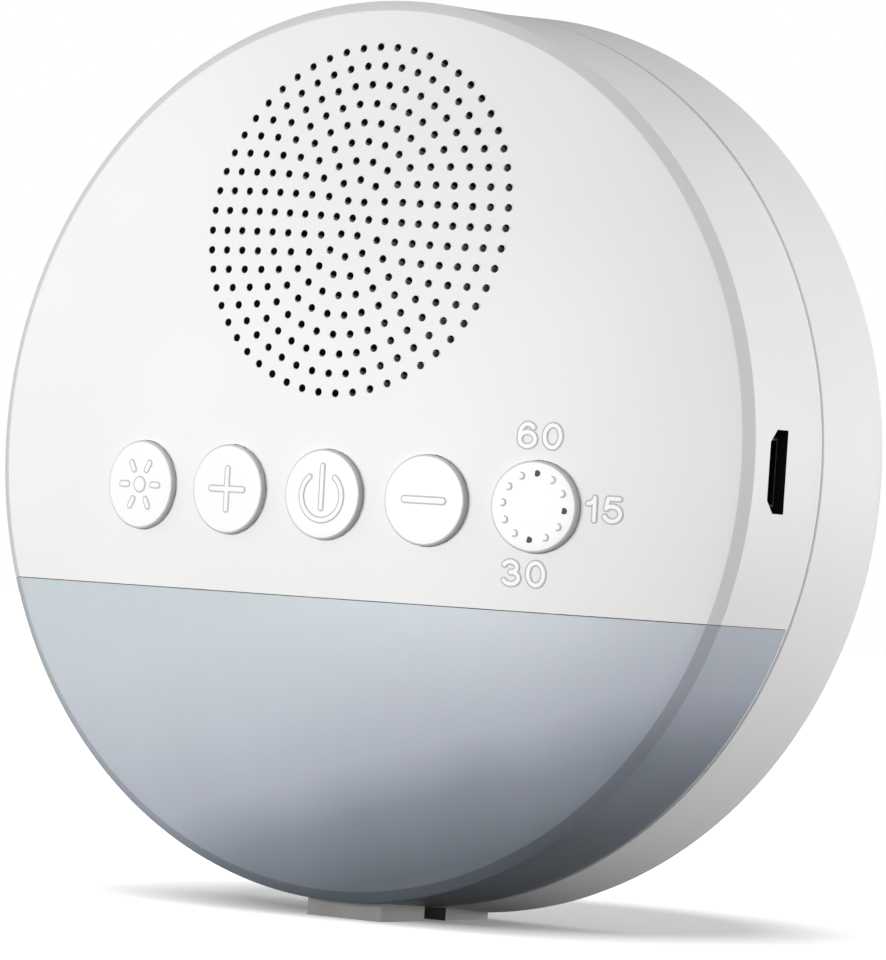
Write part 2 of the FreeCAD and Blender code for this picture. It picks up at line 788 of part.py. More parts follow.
def make_buttons():
    for name, x, z in BUTTONS:
        form = join(
            f"{name}_form",
            rod(f"{name}_skirt", "cap_radius", "-2 * cap_proud", "flange_end", x, z),
            rod(f"{name}_flange", "cap_radius + cap_flange", "flange_start", "flange_end", x, z),
        )
        top = bind(doc.addObject("Part::Sphere", f"{name}_top"), Radius="dome_radius + cap_proud")
        cap = overlap(f"{name}_domed", form, move(top, "0", "dome_radius", "0"))
        cap = rounded(
            f"{name}_round",
            cap,
            "cap_edge",
            lambda edge: edge.Closed and edge.BoundBox.YMax < number("cap_floor"),
        )
        hollow = cut(
            f"{name}_hollow",
            rod(f"{name}_room", "cap_hollow", "cap_floor", "case_depth", x, z),
            rod(f"{name}_stem_room", "cap_stem", "0", "2 * case_depth", x, z),
        )
        stem = rod(f"{name}_stem", "cap_stem", "cap_floor", "plunger_front", x, z)
        node(f"{name}_button", join(f"{name}_cap", cut(f"{name}_cup", cap, hollow), stem))
        node(
            f"{name}_plunger",
            rod(f"{name}_pin", "plunger_radius", "plunger_front", "plunger_front + plunger_length", x, z),
        )
    bodies = []
    wells = []
    for name, x, z in BUTTONS:
        bodies.append(block(
            f"{name}_switch",
            centred(x, "switch_side"),
            ("switch_front", "board_depth"),
            centred(z, "switch_side"),
        ))
        well_end = "plunger_front + plunger_length + button_travel + plunger_gap"
        wells.append(rod(f"{name}_well", "plunger_radius + plunger_gap", "0", well_end, x, z))
    node("switch_bodies", cut("switch_cut", group("switch_blocks", bodies), group("switch_wells", wells)))


def make_boards():
    board = plate("board_form", "XZ_Plane", [
        ("-board_left", "-board_bottom"),
        ("board_right", "-board_bottom"),
        ("board_right", "-board_tab_half"),
        ("board_tab_end", "-board_tab_half"),
        ("board_tab_end", "board_tab_half"),
        ("board_tab_start", "board_tab_half"),
        ("board_tab_start", "board_top"),
        ("-board_left", "board_top"),
    ], "board_thick", "0", "board_depth")
    drills = [
        rod(f"{name}_board_hole", "small_screw + screw_gap", "0", "case_depth", *at)
        for name, at in BOARD_SCREWS.items()
    ]
    node("main_board", cut("board_cut", board, group("board_holes", drills)))
    strip = block(
        "lamp_strip",
        centred("0", "lamp_board_wide"),
        ("tray_depth - lamp_board_thick", "tray_depth"),
        centred("-lamp_board_drop", "lamp_board_high"),
    )
    drills = [
        rod(f"{name}_strip_hole", "small_screw + screw_gap", "0", "case_depth", *at)
        for name, at in TRAY_SCREWS.items()
    ]
    node("lamp_board", cut("lamp_board_cut", strip, group("lamp_board_holes", drills)))
    count = int(number("led_count"))
    leds = [
        block(
            f"led_{i + 1}",
            centred(f"led_pitch * {i - (count - 1) / 2}", "led_wide"),
            ("tray_depth - lamp_board_thick - led_thick", "tray_depth - lamp_board_thick"),
            centred("-lamp_board_drop", "led_high"),
        )
        for i in range(count)
    ]
    node("lamp_leds", group("led_set", leds))


def on_board(name, x, z, wide, high, thick):
    """Square part soldered to the rear face of the main board."""
    return block(name, centred(x, wide), ("board_rear", f"board_rear + {thick}"), centred(z, high))


def make_components():
    node("controller_chip", on_board("controller", "-8", "-7.5", "7", "7", "1"))
    node("memory_chip", on_board("memory", "-22", "-7", "5.2", "6", "1.6"))
    node("amplifier_chip", on_board("amplifier", "13", "-7", "5", "4", "1.4"))
    node("crystal", on_board("crystal_can", "-15.5", "-11.5", "3.2", "2.5", "0.8"))
    node("battery_connector", on_board("battery_header", "31", "-8", "6", "7", "header_height"))
    cans = [
        rod(f"capacitor_{i + 1}", "2.5", "board_rear", "board_rear + 5.4", x, "-7.5")
        for i, x in enumerate(("2", "21"))
    ]
    node("capacitors", group("capacitor_set", cans))


def make_socket():
    shell = plate(
        "socket_form",
        "YZ_Plane",
        socket_outline("socket_wide", "socket_thick", "socket_chamfer"),
        "socket_length",
        "socket_end - socket_length",
    )
    room = plate(
        "socket_room",
        "YZ_Plane",
        socket_outline(
            "socket_wide - 2 * socket_wall",
            "socket_thick - 2 * socket_wall",
            "socket_chamfer - 0.4 * socket_wall",
        ),
        "socket_length",
        "socket_end - socket_length + 2 * socket_wall",
    )
    node("usb_shell", cut("socket_cut", shell, room))
    start = "socket_end - socket_length + 2 * socket_wall"
    base = block(
        "socket_base",
        (start, "socket_end - 0.8 * socket_length"),
        centred("socket_middle + 0.2", "socket_thick / 2"),
        centred("0", "0.6 * socket_wide"),
    )
    tongue = block(
        "socket_tongue",
        (start, "socket_end - 4 * socket_wall"),
        centred("socket_middle + 0.3", "0.6"),
        centred("0", "0.5 * socket_wide"),
    )
    node("usb_tongue", join("socket_insert", base, tongue))


def make_battery():
    middle = "speaker_height - battery_high * 0.725"
    cell = block(
        "battery_block",
        centred("0", "battery_wide"),
        ("battery_depth", "battery_end"),
        centred(middle, "battery_high"),
    )
    long_edges = lambda edge: edge.BoundBox.XLength > number("battery_wide") - 1
    node("battery_cell", rounded("battery_round_cell", cell, "battery_round", long_edges))
    node("battery_tape", block(
        "battery_pad",
        centred("0", "0.8 * battery_wide"),
        ("battery_end", "battery_end + tape_thick"),
        centred(middle, "0.7 * battery_high"),
    ))


def make_leads():
    """Pairs of wires inside the case: straight runs joined by arcs, each end square to its seat."""
    board = number("board_rear")
    top = number("board_top")
    header = number("board_rear + header_height")
    strip = number("tray_depth - lamp_board_thick")
    cell = number("battery_depth + battery_thick / 2")
    cell_side = number("battery_wide / 2")
    routes = {
        "speaker_leads": ([
            (2.5, board, top - 2.0),
            (2.5, board + 2.6, top - 2.0),
            (2.5, board + 3.6, top + 0.6),
            (2.5, number("flange_rear") + 3.6, number("speaker_height - flange_radius") - 0.2),
        ], (-4, 0, 0)),
        "lamp_leads": ([
            (-19.6, board, -12.6),
            (-19.6, board + 2.8, -12.6),
            (-19.6, strip - 1.7, -20),
            (-19.6, strip - 2.0, -29),
            (-19.6, strip, -29),
        ], (1.6, 0, 0)),
        "battery_leads": ([
            (31, header, -7),
            (31, header + 4, -7),
            (30.4, cell - 4.5, -1.5),
            (29.4, cell, 1.5),
            (cell_side, cell, 1.5),
        ], (0, 0, -1.6)),
    }
    for name, (points, step) in routes.items():
        wires = []
        for i in (0, 1):
            corners = [Vector(*p) + Vector(*step) * i for p in points]
            wires.append(wire_tube(corners, number("wire_radius")))
        lead = doc.addObject("Part::Feature", name)
        lead.Shape = Part.makeCompound(wires)
        node(name, lead)


def wire_tube(corners, radius):
    """Round tube along straight runs with a tangent arc at each inner corner."""
    edges = []
    at = corners[0]
    for i in range(1, len(corners) - 1):
        before = (corners[i] - corners[i - 1]).normalize()
        after = (corners[i + 1] - corners[i]).normalize()
        shorter = min((corners[i] - corners[i - 1]).Length, (corners[i + 1] - corners[i]).Length)
        reach = 0.45 * shorter
        start, end = corners[i] - before * reach, corners[i] + after * reach
        bisector = (after - before).normalize()
        half_turn = before.getAngle(after) / 2
        bend = reach / math.tan(half_turn)
        centre = corners[i] + bisector * (bend / math.cos(half_turn))
        middle = centre - bisector * bend
        edges.append(Part.LineSegment(at, start).toShape())
        edges.append(Part.Arc(start, middle, end).toShape())
        at = end
    edges.append(Part.LineSegment(at, corners[-1]).toShape())
    path = Part.Wire(edges)
    first = corners[1] - corners[0]
    section = Part.Wire(Part.Circle(corners[0], first, radius).toShape())
    tube = path.makePipeShell([section], True, False)
    expected = math.pi * radius**2 * path.Length
    assert abs(tube.Volume / expected - 1) < 0.02, "tube volume"
    return tube


shell = front_shell()
make_front_housing(shell)
make_lamp_diffuser(shell)
make_lamp_reflector()
make_rear_housing()
make_feet()
make_speaker()
make_buttons()
make_boards()
make_components()
make_socket()
make_battery()
screws("board_screws", BOARD_SCREWS, "board_rear", "small_screw", "small_head", "small_head_thick", "small_reach")
screws("speaker_screws", CLAMP_SCREWS, "flange_rear", "small_screw", "clamp_head", "small_head_thick", "clamp_reach")
screws(
    "lamp_board_screws", TRAY_SCREWS, "tray_depth - lamp_board_thick",
    "small_screw", "strip_head", "strip_head_thick", "strip_reach", False,
)
screws("housing_screws", CASE_SCREWS, "head_seat", "screw_radius", "screw_head", "screw_head_thick", "screw_reach")
make_leads()
doc.recompute()

for thing in doc.Objects:
    faults = [state for state in thing.State if state in ("Invalid", "Error")]
    assert not faults, f"{thing.Name}: {faults}"
for piece in NODES:
    assert not piece.Shape.isNull(), f"{piece.Label} has no shape"
    assert piece.Shape.isValid(), f"{piece.Label} is not valid"

os.makedirs("parts", exist_ok=True)
for piece in NODES:
    piece.Shape.exportStep(os.path.join("parts", piece.Label + ".step"))
    box = piece.Shape.BoundBox
    print(f"{piece.Label}: {len(piece.Shape.Solids)} solids, {piece.Shape.Volume:.1f} mm3,", box)
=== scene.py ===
"""Looks of a round white sound machine: moulded case, grille, five buttons and a night lamp."""
import json
import math

import bmesh
import bpy
from mathutils import Matrix, Vector, geometry, kdtree


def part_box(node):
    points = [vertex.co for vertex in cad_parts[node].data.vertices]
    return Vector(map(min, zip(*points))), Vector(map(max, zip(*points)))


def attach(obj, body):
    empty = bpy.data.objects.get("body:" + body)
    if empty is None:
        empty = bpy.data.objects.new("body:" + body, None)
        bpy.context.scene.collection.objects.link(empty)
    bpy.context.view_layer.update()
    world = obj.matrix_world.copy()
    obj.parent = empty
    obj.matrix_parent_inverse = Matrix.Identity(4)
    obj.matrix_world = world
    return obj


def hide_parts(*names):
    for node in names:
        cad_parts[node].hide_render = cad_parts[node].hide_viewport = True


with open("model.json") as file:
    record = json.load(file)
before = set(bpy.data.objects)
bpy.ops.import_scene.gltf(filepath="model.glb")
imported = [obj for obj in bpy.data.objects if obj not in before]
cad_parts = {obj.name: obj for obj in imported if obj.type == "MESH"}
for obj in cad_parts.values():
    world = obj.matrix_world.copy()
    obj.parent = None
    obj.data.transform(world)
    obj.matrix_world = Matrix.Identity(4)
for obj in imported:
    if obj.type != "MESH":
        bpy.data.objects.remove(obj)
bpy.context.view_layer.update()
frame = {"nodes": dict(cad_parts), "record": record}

MM = 0.001

# The case's own coordinates, in millimetres: side to the right, depth from the top of the
# domed front, height from the centre line of the round case
FRONT_LOW, FRONT_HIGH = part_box("front_housing")
REAR_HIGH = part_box("rear_housing")[1]
APEX = FRONT_LOW.y
AXIS = FRONT_HIGH.z - FRONT_HIGH.x

# Case
DOME_RADIUS = 178.5
EDGE_RADIUS = 49.8
BEVEL_RADIUS = 51.0
BEVEL_DEPTH = 0.86
PARTING_RADIUS = 51.6
FRONT_END = (FRONT_HIGH.y - APEX) / MM
GROOVE_WIDE = 0.5
REAR_START = FRONT_END + GROOVE_WIDE
REAR_RADIUS = 52.4
REAR_ROUND = 3.0
REAR_EDGE = 36.2
CASE_DEPTH = (REAR_HIGH.y - APEX) / MM
WALL = 2.0
LAMP_SPLIT = 17.0
SPLIT_GAP = 0.1
RIM_STEPS = 288

# Grille
SPEAKER = (0.5, 25.7)
HOLE_RADIUS = 0.475
HOLE_PITCH = 2.2
HOLE_RINGS = 9
HOLE_TURN = math.radians(-3.95)
HOLE_SWIRL = math.radians(0.23)
HOLE_SIDES = 16

# Buttons
BUTTON_NAMES = ("light", "plus", "power", "minus", "timer")
BUTTON_PITCH = 13.3
BUTTON_MIDDLE = 0.65
BUTTON_HEIGHT = -5.45
BUTTONS = {
    name: (BUTTON_MIDDLE + BUTTON_PITCH * (i - 2), BUTTON_HEIGHT)
    for i, name in enumerate(BUTTON_NAMES)
}
CAP_RADIUS = 5.08
CAP_GAP = 0.07
CAP_PROUD = 0.8
CAP_EDGE = 0.25
FLANGE_START = 5.7
FLANGE_END = 6.5
FLANGE_RADIUS = 6.1
STEM_RADIUS = 1.7
PLUNGER_FRONT = 6.9

# Charging socket
SLOT_MIDDLE = 12.8
SLOT_WIDE = 9.2
SLOT_THICK = 3.6
SLOT_CHAMFER = 1.4
SLOT_EASE = 0.08

# Rear screws, on one circle
RECESS_RADIUS = 2.6
RECESS_DEPTH = 23.0
SCREW_CIRCLE = PARTING_RADIUS - 6.7
UPPER_SCREW_TURN = 32.3
LOWER_SCREW_TURN = 43.4
SCREW_TURNS = (UPPER_SCREW_TURN, 180 - UPPER_SCREW_TURN, 180 + LOWER_SCREW_TURN, -LOWER_SCREW_TURN)
CASE_SCREWS = [
    (SCREW_CIRCLE * math.cos(math.radians(turn)), SCREW_CIRCLE * math.sin(math.radians(turn)))
    for turn in SCREW_TURNS
]


def spot(side, depth, height):
    """A place in the case's coordinates, in the frame's metres."""
    return Vector((side * MM, APEX + depth * MM, AXIS + height * MM))


def dome(side, height):
    """Depth of the domed front."""
    return DOME_RADIUS - math.sqrt(DOME_RADIUS**2 - side**2 - height**2)


# Materials

# Where the drift between two tones starts and ends on its noise
TINT_START = 0.35
TINT_END = 0.65


def linear(text):
    """An sRGB hex colour as linear red, green, blue and alpha."""
    parts = [int(text[i : i + 2], 16) / 255 for i in (1, 3, 5)]
    return tuple(c / 12.92 if c <= 0.04045 else ((c + 0.055) / 1.055) ** 2.4 for c in parts) + (1.0,)


def add(tree, kind, settings=None, links=None):
    """Adds a node with its settings (sockets by name or number, or properties) and links."""
    node = tree.nodes.new(kind)
    for key, value in (settings or {}).items():
        if isinstance(key, int) or key in node.inputs:
            node.inputs[key].default_value = value
        else:
            setattr(node, key, value)
    for key, source in (links or {}).items():
        tree.links.new(source, node.inputs[key])
    return node


def blank_material(name):
    """A new material and its empty node tree."""
    made = bpy.data.materials.new(name)
    made.use_nodes = True
    made.node_tree.nodes.clear()
    return made, made.node_tree


def grain(tree, size_mm, depth_mm):
    """Bump from a moulded or cast grain of that size."""
    place = add(tree, "ShaderNodeTexCoord")
    noise = add(
        tree,
        "ShaderNodeTexNoise",
        {"Scale": 1 / (size_mm * MM), "Detail": 2.0},
        {"Vector": place.outputs["Object"]},
    )
    return add(
        tree,
        "ShaderNodeBump",
        {"Distance": depth_mm * MM, "Strength": 1.0},
        {"Height": noise.outputs["Fac"]},
    )


def tinted(tree, low, high, size_mm):
    """Colour that drifts between two close tones over patches of that size."""
    place = add(tree, "ShaderNodeTexCoord")
    noise = add(
        tree,
        "ShaderNodeTexNoise",
        {"Scale": 1 / (size_mm * MM), "Detail": 1.0},
        {"Vector": place.outputs["Object"]},
    )
    ramp = add(tree, "ShaderNodeValToRGB", {}, {"Fac": noise.outputs["Fac"]})
    start, end = ramp.color_ramp.elements
    start.position, start.color = TINT_START, linear(low)
    end.position, end.color = TINT_END, linear(high)
    return ramp


def surface(name, low, high, patch_mm, grain_mm, grain_depth, **shader):
    """Principled surface with a colour that drifts between two tones over patches, and a grain;
    patch, grain and its depth in millimetres."""
    made, tree = blank_material(name)
    colour = tinted(tree, low, high, patch_mm)
    bump = grain(tree, grain_mm, grain_depth)
    settings = {key.replace("_", " "): value for key, value in shader.items()}
    base = add(
        tree,
        "ShaderNodeBsdfPrincipled",
        settings,
        {"Base Color": colour.outputs["Color"], "Normal": bump.outputs["Normal"]},
    )
    add(tree, "ShaderNodeOutputMaterial", {}, {"Surface": base.outputs["BSDF"]})
    return made


# White ABS from a finely spark-eroded mould: bright, soft highlights, no gloss
white_abs = surface(
    "white_moulded_abs", "#EDEDEC", "#F0F0EF", 30.0, 0.25, 0.006, Roughness=0.5, IOR=1.53
)
# Button caps: the same plastic from a smoother mould, so a shade brighter and tighter lit
cap_abs = surface("white_cap_abs", "#F8F8F7", "#FAFAF9", 8.0, 0.2, 0.003, Roughness=0.42, IOR=1.53)
# The caps' walls: dull, and coloured grey as painted shade
cap_wall_painted_shade = surface("painted_shade_cap_wall", "#CBCBCB", "#CFCFCF", 3.0, 0.2, 0.004, Roughness=0.6, IOR=1.53)
# The bevel round the front comes from a smoother cut of the mould; it is coloured darker than the case as
# painted shade
painted_shade_bevel = surface(
    "painted_shade_bevel_abs", "#D9D9D9", "#DCDCDC", 30.0, 0.2, 0.002, Roughness=0.35, IOR=1.53
)
# The walls of small openings: the case's plastic coloured black as painted shade
painted_shade_opening = surface(
    "painted_shade_opening_wall", "#161616", "#1E1E1E", 2.0, 0.2, 0.004, Roughness=0.7, IOR=1.5
)
# The raised signs catch the light a little more
sign_abs = surface("raised_sign_abs", "#F8F8F8", "#FAFAFA", 3.0, 0.2, 0.002, Roughness=0.45, IOR=1.53)
# Painted shadow: a thin grey line round each raised sign, and round the timer's pale dots
painted_shadow_line = surface("painted_shadow_sign_edge", "#BDBDBD", "#C2C2C2", 2.0, 0.2, 0.002, Roughness=0.7, IOR=1.53)
# Pad-printed black ink on three dots of the timer: flat, dense and faintly satin
black_ink = surface("black_pad_print", "#050505", "#080808", 1.0, 0.1, 0.002, Roughness=0.5, IOR=1.5)
# Woven speaker cloth behind the grille: fully matte black that keeps the holes dark
grille_cloth = surface(
    "black_speaker_cloth", "#0A0A0B", "#1B1B1D", 0.5, 0.35, 0.08, Roughness=0.95, IOR=1.4
)
# Moulded silicone feet: mid grey and dull, with a slightly waxy edge
foot_rubber = surface(
    "grey_silicone_rubber", "#8C8C8A", "#949492", 4.0, 0.3, 0.02, Roughness=0.7, IOR=1.41
)
# The lamp's reflector tray: smooth moulded ABS, bright white to throw the light forwards
tray_abs = surface("white_tray_abs", "#E6E6E4", "#ECECEA", 10.0, 0.3, 0.01, Roughness=0.4, IOR=1.53)
# Die-cut foam gasket: pitted and without any shine
black_foam = surface(
    "black_closed_foam", "#0B0B0B", "#161616", 1.0, 0.4, 0.05, Roughness=0.95, IOR=1.4
)
# Stamped and zinc-plated steel of the speaker's frame and the screws: cool grey, half bright
zinc_steel = surface(
    "zinc_plated_steel", "#B9BBBD", "#C9CBCC", 2.0, 0.4, 0.004, Metallic=1.0, Roughness=0.32
)
# Sintered ferrite ring magnet: dark slate grey with a stony face
ferrite = surface("sintered_ferrite", "#26262A", "#333338", 3.0, 0.2, 0.02, Roughness=0.7, IOR=1.8)
# Enamelled winding wire: warm copper under a clear, glossy coat
copper_wire = surface(
    "enamelled_copper", "#9C4A22", "#B8602F", 0.6, 0.1, 0.02, Metallic=1.0, Roughness=0.3
)
# Pressed paper pulp of the cone: black with a fibrous, dry face
cone_paper = surface(
    "pressed_black_paper", "#101011", "#1C1C1D", 1.2, 0.3, 0.04, Roughness=0.9, IOR=1.45
)
# Resin-dipped cotton of the spider: amber and coarse
spider_cloth = surface(
    "resin_dipped_cloth", "#B98A3A", "#CBA050", 1.0, 0.3, 0.05, Roughness=0.8, IOR=1.45
)
# Moulded nylon of the switch bodies: even black with a soft sheen
black_nylon = surface(
    "black_moulded_nylon", "#0E0E0F", "#161617", 2.0, 0.2, 0.006, Roughness=0.5, IOR=1.53
)
# Green solder mask on glass fibre: smooth and lightly glossy
board_mask = surface("green_solder_mask", "#0D4A22", "#12592A", 5.0, 0.3, 0.006, Roughness=0.3, IOR=1.55)
# White solder mask of the lamp board, which throws light back
white_mask = surface("white_solder_mask", "#E9E9E6", "#F0F0ED", 5.0, 0.3, 0.006, Roughness=0.35, IOR=1.55)
# Cast resin with yellow phosphor over each diode
led_resin = surface("phosphor_resin", "#E7D77A", "#F0E28E", 1.0, 0.2, 0.004, Roughness=0.25, IOR=1.5)
# Drawn aluminium cans of the capacitors and the crystal: bright, with streaky highlights
bright_can = surface(
    "drawn_aluminium_can", "#C6C8CA", "#D4D6D8", 2.0, 0.3, 0.003, Metallic=1.0, Roughness=0.25
)
# Unpigmented nylon of the battery connector: creamy and slightly waxy
natural_nylon = surface("natural_nylon", "#E2DAC6", "#EAE3D1", 3.0, 0.3, 0.006, Roughness=0.5, IOR=1.53)
# Dark nickel plating inside the charging socket: near black, but metallic at its edges
dark_plating = surface(
    "dark_nickel_plating", "#3A3B3E", "#4A4B4E", 1.5, 0.2, 0.003, Metallic=1.0, Roughness=0.35
)
# Laminated foil of the pouch cell: dull silver with shallow creases
cell_foil = surface(
    "laminated_pouch_foil", "#A9ADB2", "#B8BCC0", 8.0, 1.2, 0.02, Metallic=0.8, Roughness=0.38
)
# Extruded jacket of the leads: smooth, deep red
red_wire = surface("red_wire_jacket", "#8E1714", "#A01F1B", 3.0, 0.4, 0.01, Roughness=0.45, IOR=1.5)


# Painted shade: the lamp's bevel is coloured this share as bright as its front
BEVEL_PAINTED_SHADE = 0.82
# How fast the lamp's painted shade darkens it to the right against downwards
LAMP_SHADE_LEAN = 0.28
# Clouds in the lamp's plastic, about 22 mm across, and how far they shift its painted shade
CLOUDS_PER_METRE = 45.0
CLOUD_START, CLOUD_END = 0.3, 0.7
CLOUD_DRIFT = 0.05
# The grain of the lamp's mould and its depth
LAMP_GRAIN = 0.3
LAMP_GRAIN_DEPTH = 0.004
# The lamp's colours with painted shade, from the split down to the lowest point of the case
LAMP_SHADE_STOPS = (
    (0.0, "#CBD3D8"),
    (0.30, "#C3C9D2"),
    (0.55, "#B4BAC6"),
    (0.75, "#8E95A1"),
    (1.0, "#6C737C"),
)


def dimmed(text, share):
    """A hex colour with its light taken down to a share."""
    return tuple(c * share for c in linear(text)[:3]) + (1.0,)


def frosted_lamp(name, share):
    """Frosted polycarbonate: cloudy blue-grey with a soft depth, and painted shade that makes it
    darker downwards and to the right."""
    made, tree = blank_material(name)
    place = add(tree, "ShaderNodeTexCoord")
    parts = add(tree, "ShaderNodeSeparateXYZ", {}, {0: place.outputs["Object"]})
    # Painted shade: the colour darkens downwards and to the right across the lamp
    lean = add(tree, "ShaderNodeMath", {"operation": "MULTIPLY", 1: -LAMP_SHADE_LEAN}, {0: parts.outputs["X"]})
    level = add(
        tree, "ShaderNodeMath", {"operation": "ADD"}, {0: parts.outputs["Z"], 1: lean.outputs["Value"]}
    )
    drop = add(
        tree,
        "ShaderNodeMapRange",
        {"From Min": AXIS - LAMP_SPLIT * MM, "From Max": AXIS - PARTING_RADIUS * MM, "clamp": False},
        {"Value": level.outputs["Value"]},
    )
    clouds = add(
        tree,
        "ShaderNodeTexNoise",
        {"Scale": CLOUDS_PER_METRE, "Detail": 1.5, "Roughness": 0.4},
        {"Vector": place.outputs["Object"]},
    )
    drift = add(
        tree,
        "ShaderNodeMapRange",
        {"From Min": CLOUD_START, "From Max": CLOUD_END, "To Min": -CLOUD_DRIFT, "To Max": CLOUD_DRIFT},
        {"Value": clouds.outputs["Fac"]},
    )
    shade = add(
        tree, "ShaderNodeMath", {"operation": "ADD"}, {0: drop.outputs["Result"], 1: drift.outputs["Result"]}
    )
    ramp = add(tree, "ShaderNodeValToRGB", {}, {"Fac": shade.outputs["Value"]})
    first, last = ramp.color_ramp.elements
    first.position, first.color = LAMP_SHADE_STOPS[0][0], dimmed(LAMP_SHADE_STOPS[0][1], share)
    last.position, last.color = LAMP_SHADE_STOPS[-1][0], dimmed(LAMP_SHADE_STOPS[-1][1], share)
    for position, colour in LAMP_SHADE_STOPS[1:-1]:
        ramp.color_ramp.elements.new(position).color = dimmed(colour, share)
    bump = grain(tree, LAMP_GRAIN, LAMP_GRAIN_DEPTH)
    base = add(
        tree,
        "ShaderNodeBsdfPrincipled",
        {"Roughness": 0.38, "IOR": 1.58, "Subsurface Weight": 0.25, "Subsurface Scale": 0.002},
        {"Base Color": ramp.outputs["Color"], "Normal": bump.outputs["Normal"]},
    )
    add(tree, "ShaderNodeOutputMaterial", {}, {"Surface": base.outputs["BSDF"]})
    return made


lamp_painted_shade_plastic = frosted_lamp("frosted_polycarbonate", 1.0)
lamp_bevel_painted_shade = frosted_lamp("frosted_polycarbonate_painted_shade_bevel", BEVEL_PAINTED_SHADE)


# Mesh tools

# Points closer than this are one point: in a finished mesh, in a flat face and in a flat sign
WELD = 0.002
FACE_WELD = 1e-6
SIGN_WELD = 1e-5
# Which flat triangles are made: those that the loops enclose, or all between their farthest points
ENCLOSED = 1
SPANNED = 0
# Edges that turn by more than this, in degrees, stay sharp
CASE_CREASE = 35.0
PART_CREASE = 40.0
SIGN_CREASE = 30.0
# Rows of a staggered grid lie this share of its step apart
ROW_SHARE = 0.866


def new_piece(name, mesh, material, body="case", stands_for=()):
    """Puts a mesh in the scene as a piece that rides on a body."""
    piece = bpy.data.objects.new(name, mesh)
    bpy.context.scene.collection.objects.link(piece)
    mesh.materials.clear()
    mesh.materials.append(material)
    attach(piece, body)
    if stands_for:
        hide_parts(*stands_for)
    return piece


def paint(mesh, material, chosen):
    """Gives the faces that the test picks, by their middle in the case's coordinates, a material
    of their own."""
    mesh.materials.append(material)
    index = len(mesh.materials) - 1
    for face in mesh.polygons:
        side, depth, height = face.center
        if chosen(side / MM, (depth - APEX) / MM, (height - AXIS) / MM):
            face.material_index = index


def mesh_from(name, work, crease=CASE_CREASE):
    """Turns a bmesh into a mesh with smooth faces and sharp creases."""
    bmesh.ops.remove_doubles(work, verts=work.verts, dist=WELD * MM)
    for face in work.faces:
        face.smooth = True
    limit = math.radians(crease)
    for edge in work.edges:
        edge.smooth = len(edge.link_faces) == 2 and edge.calc_face_angle(0.0) < limit
    mesh = bpy.data.meshes.new(name)
    work.to_mesh(mesh)
    work.free()
    return mesh


def with_thickness(name, work, thickness):
    """Gives an open skin a wall towards its inside, closed round every hole."""
    mesh = mesh_from(name + "_skin", work)
    carrier = bpy.data.objects.new(name + "_skin", mesh)
    bpy.context.scene.collection.objects.link(carrier)
    wall = carrier.modifiers.new("wall", "SOLIDIFY")
    wall.thickness = thickness * MM
    wall.offset = -1.0
    graph = bpy.context.evaluated_depsgraph_get()
    solid = bpy.data.meshes.new_from_object(carrier.evaluated_get(graph))
    bpy.data.objects.remove(carrier)
    again = bmesh.new()
    again.from_mesh(solid)
    return mesh_from(name, again)


def circle(middle, radius, count):
    """Points round a circle."""
    turns = [2 * math.pi * i / count for i in range(count)]
    return [(middle[0] + radius * math.cos(t), middle[1] + radius * math.sin(t)) for t in turns]


def arc(middle, wide, high, start, end, steps=28):
    """Points of an elliptical arc, angles in degrees."""
    points = []
    for i in range(steps + 1):
        angle = math.radians(start + (end - start) * i / steps)
        points.append((middle[0] + wide * math.cos(angle), middle[1] + high * math.sin(angle)))
    return points


def inside(point, outline):
    """Whether a point lies inside a closed outline."""
    x, y = point
    crossings = 0
    for (x1, y1), (x2, y2) in zip(outline, outline[1:] + outline[:1]):
        if (y1 > y) != (y2 > y) and x < (x2 - x1) * (y - y1) / (y2 - y1) + x1:
            crossings += 1
    return crossings % 2 == 1


def triangles(loops, extra, kind, weld, wanted):
    """Flat triangles of a kind through closed loops and extra points, where the test wants their
    middle."""
    points, edges = [], []
    for loop in loops:
        first = len(points)
        points += [Vector(p) for p in loop]
        edges += [(first + i, first + (i + 1) % len(loop)) for i in range(len(loop))]
    points += [Vector(p) for p in extra]
    found = geometry.delaunay_2d_cdt(points, edges, [], kind, weld)
    places, faces = found[0], found[2]
    kept = []
    for face in faces:
        middle = sum((places[i] for i in face), Vector((0, 0))) / len(face)
        if wanted(middle):
            kept.append(face)
    return places, kept


def lay(work, places, faces, put, turned=False):
    """Adds flat triangles to the work, with each point where the rule puts it."""
    verts = [work.verts.new(put(p)) for p in places]
    for face in faces:
        work.faces.new([verts[i] for i in (reversed(face) if turned else face)])


def grid(x_range, y_range, step, keep):
    """Staggered points over a rectangle, where the test keeps them."""
    rows = int((y_range[1] - y_range[0]) / (step * ROW_SHARE)) + 1
    columns = int((x_range[1] - x_range[0]) / step) + 1
    points = []
    for j in range(rows):
        for i in range(columns):
            point = (x_range[0] + (i + 0.5 * (j % 2)) * step, y_range[0] + j * step * ROW_SHARE)
            if keep(point):
                points.append(point)
    return points


def side_angle(radius, height, share, upper):
    """Angle round the case at a share of the arc above or below a level cut."""
    cut = math.asin(max(-1.0, height / radius))
    start, end = (cut, math.pi - cut) if upper else (math.pi - cut, 2 * math.pi + cut)
    return start + (end - start) * share


def rim(work, radius, depth, height, upper):
    """A row of points round the case, from one end of the level cut to the other."""
    row = []
    for i in range(RIM_STEPS + 1):
        angle = side_angle(radius, height, i / RIM_STEPS, upper)
        row.append(work.verts.new(spot(radius * math.cos(angle), depth, radius * math.sin(angle))))
    return row


def bands(work, rows, height, upper):
    """Faces between rows of points round the case, given as radius and depth."""
    made = [rim(work, radius, depth, height, upper) for radius, depth in rows]
    for inner, outer in zip(made, made[1:]):
        for i in range(RIM_STEPS):
            work.faces.new((inner[i], outer[i], outer[i + 1], inner[i + 1]))


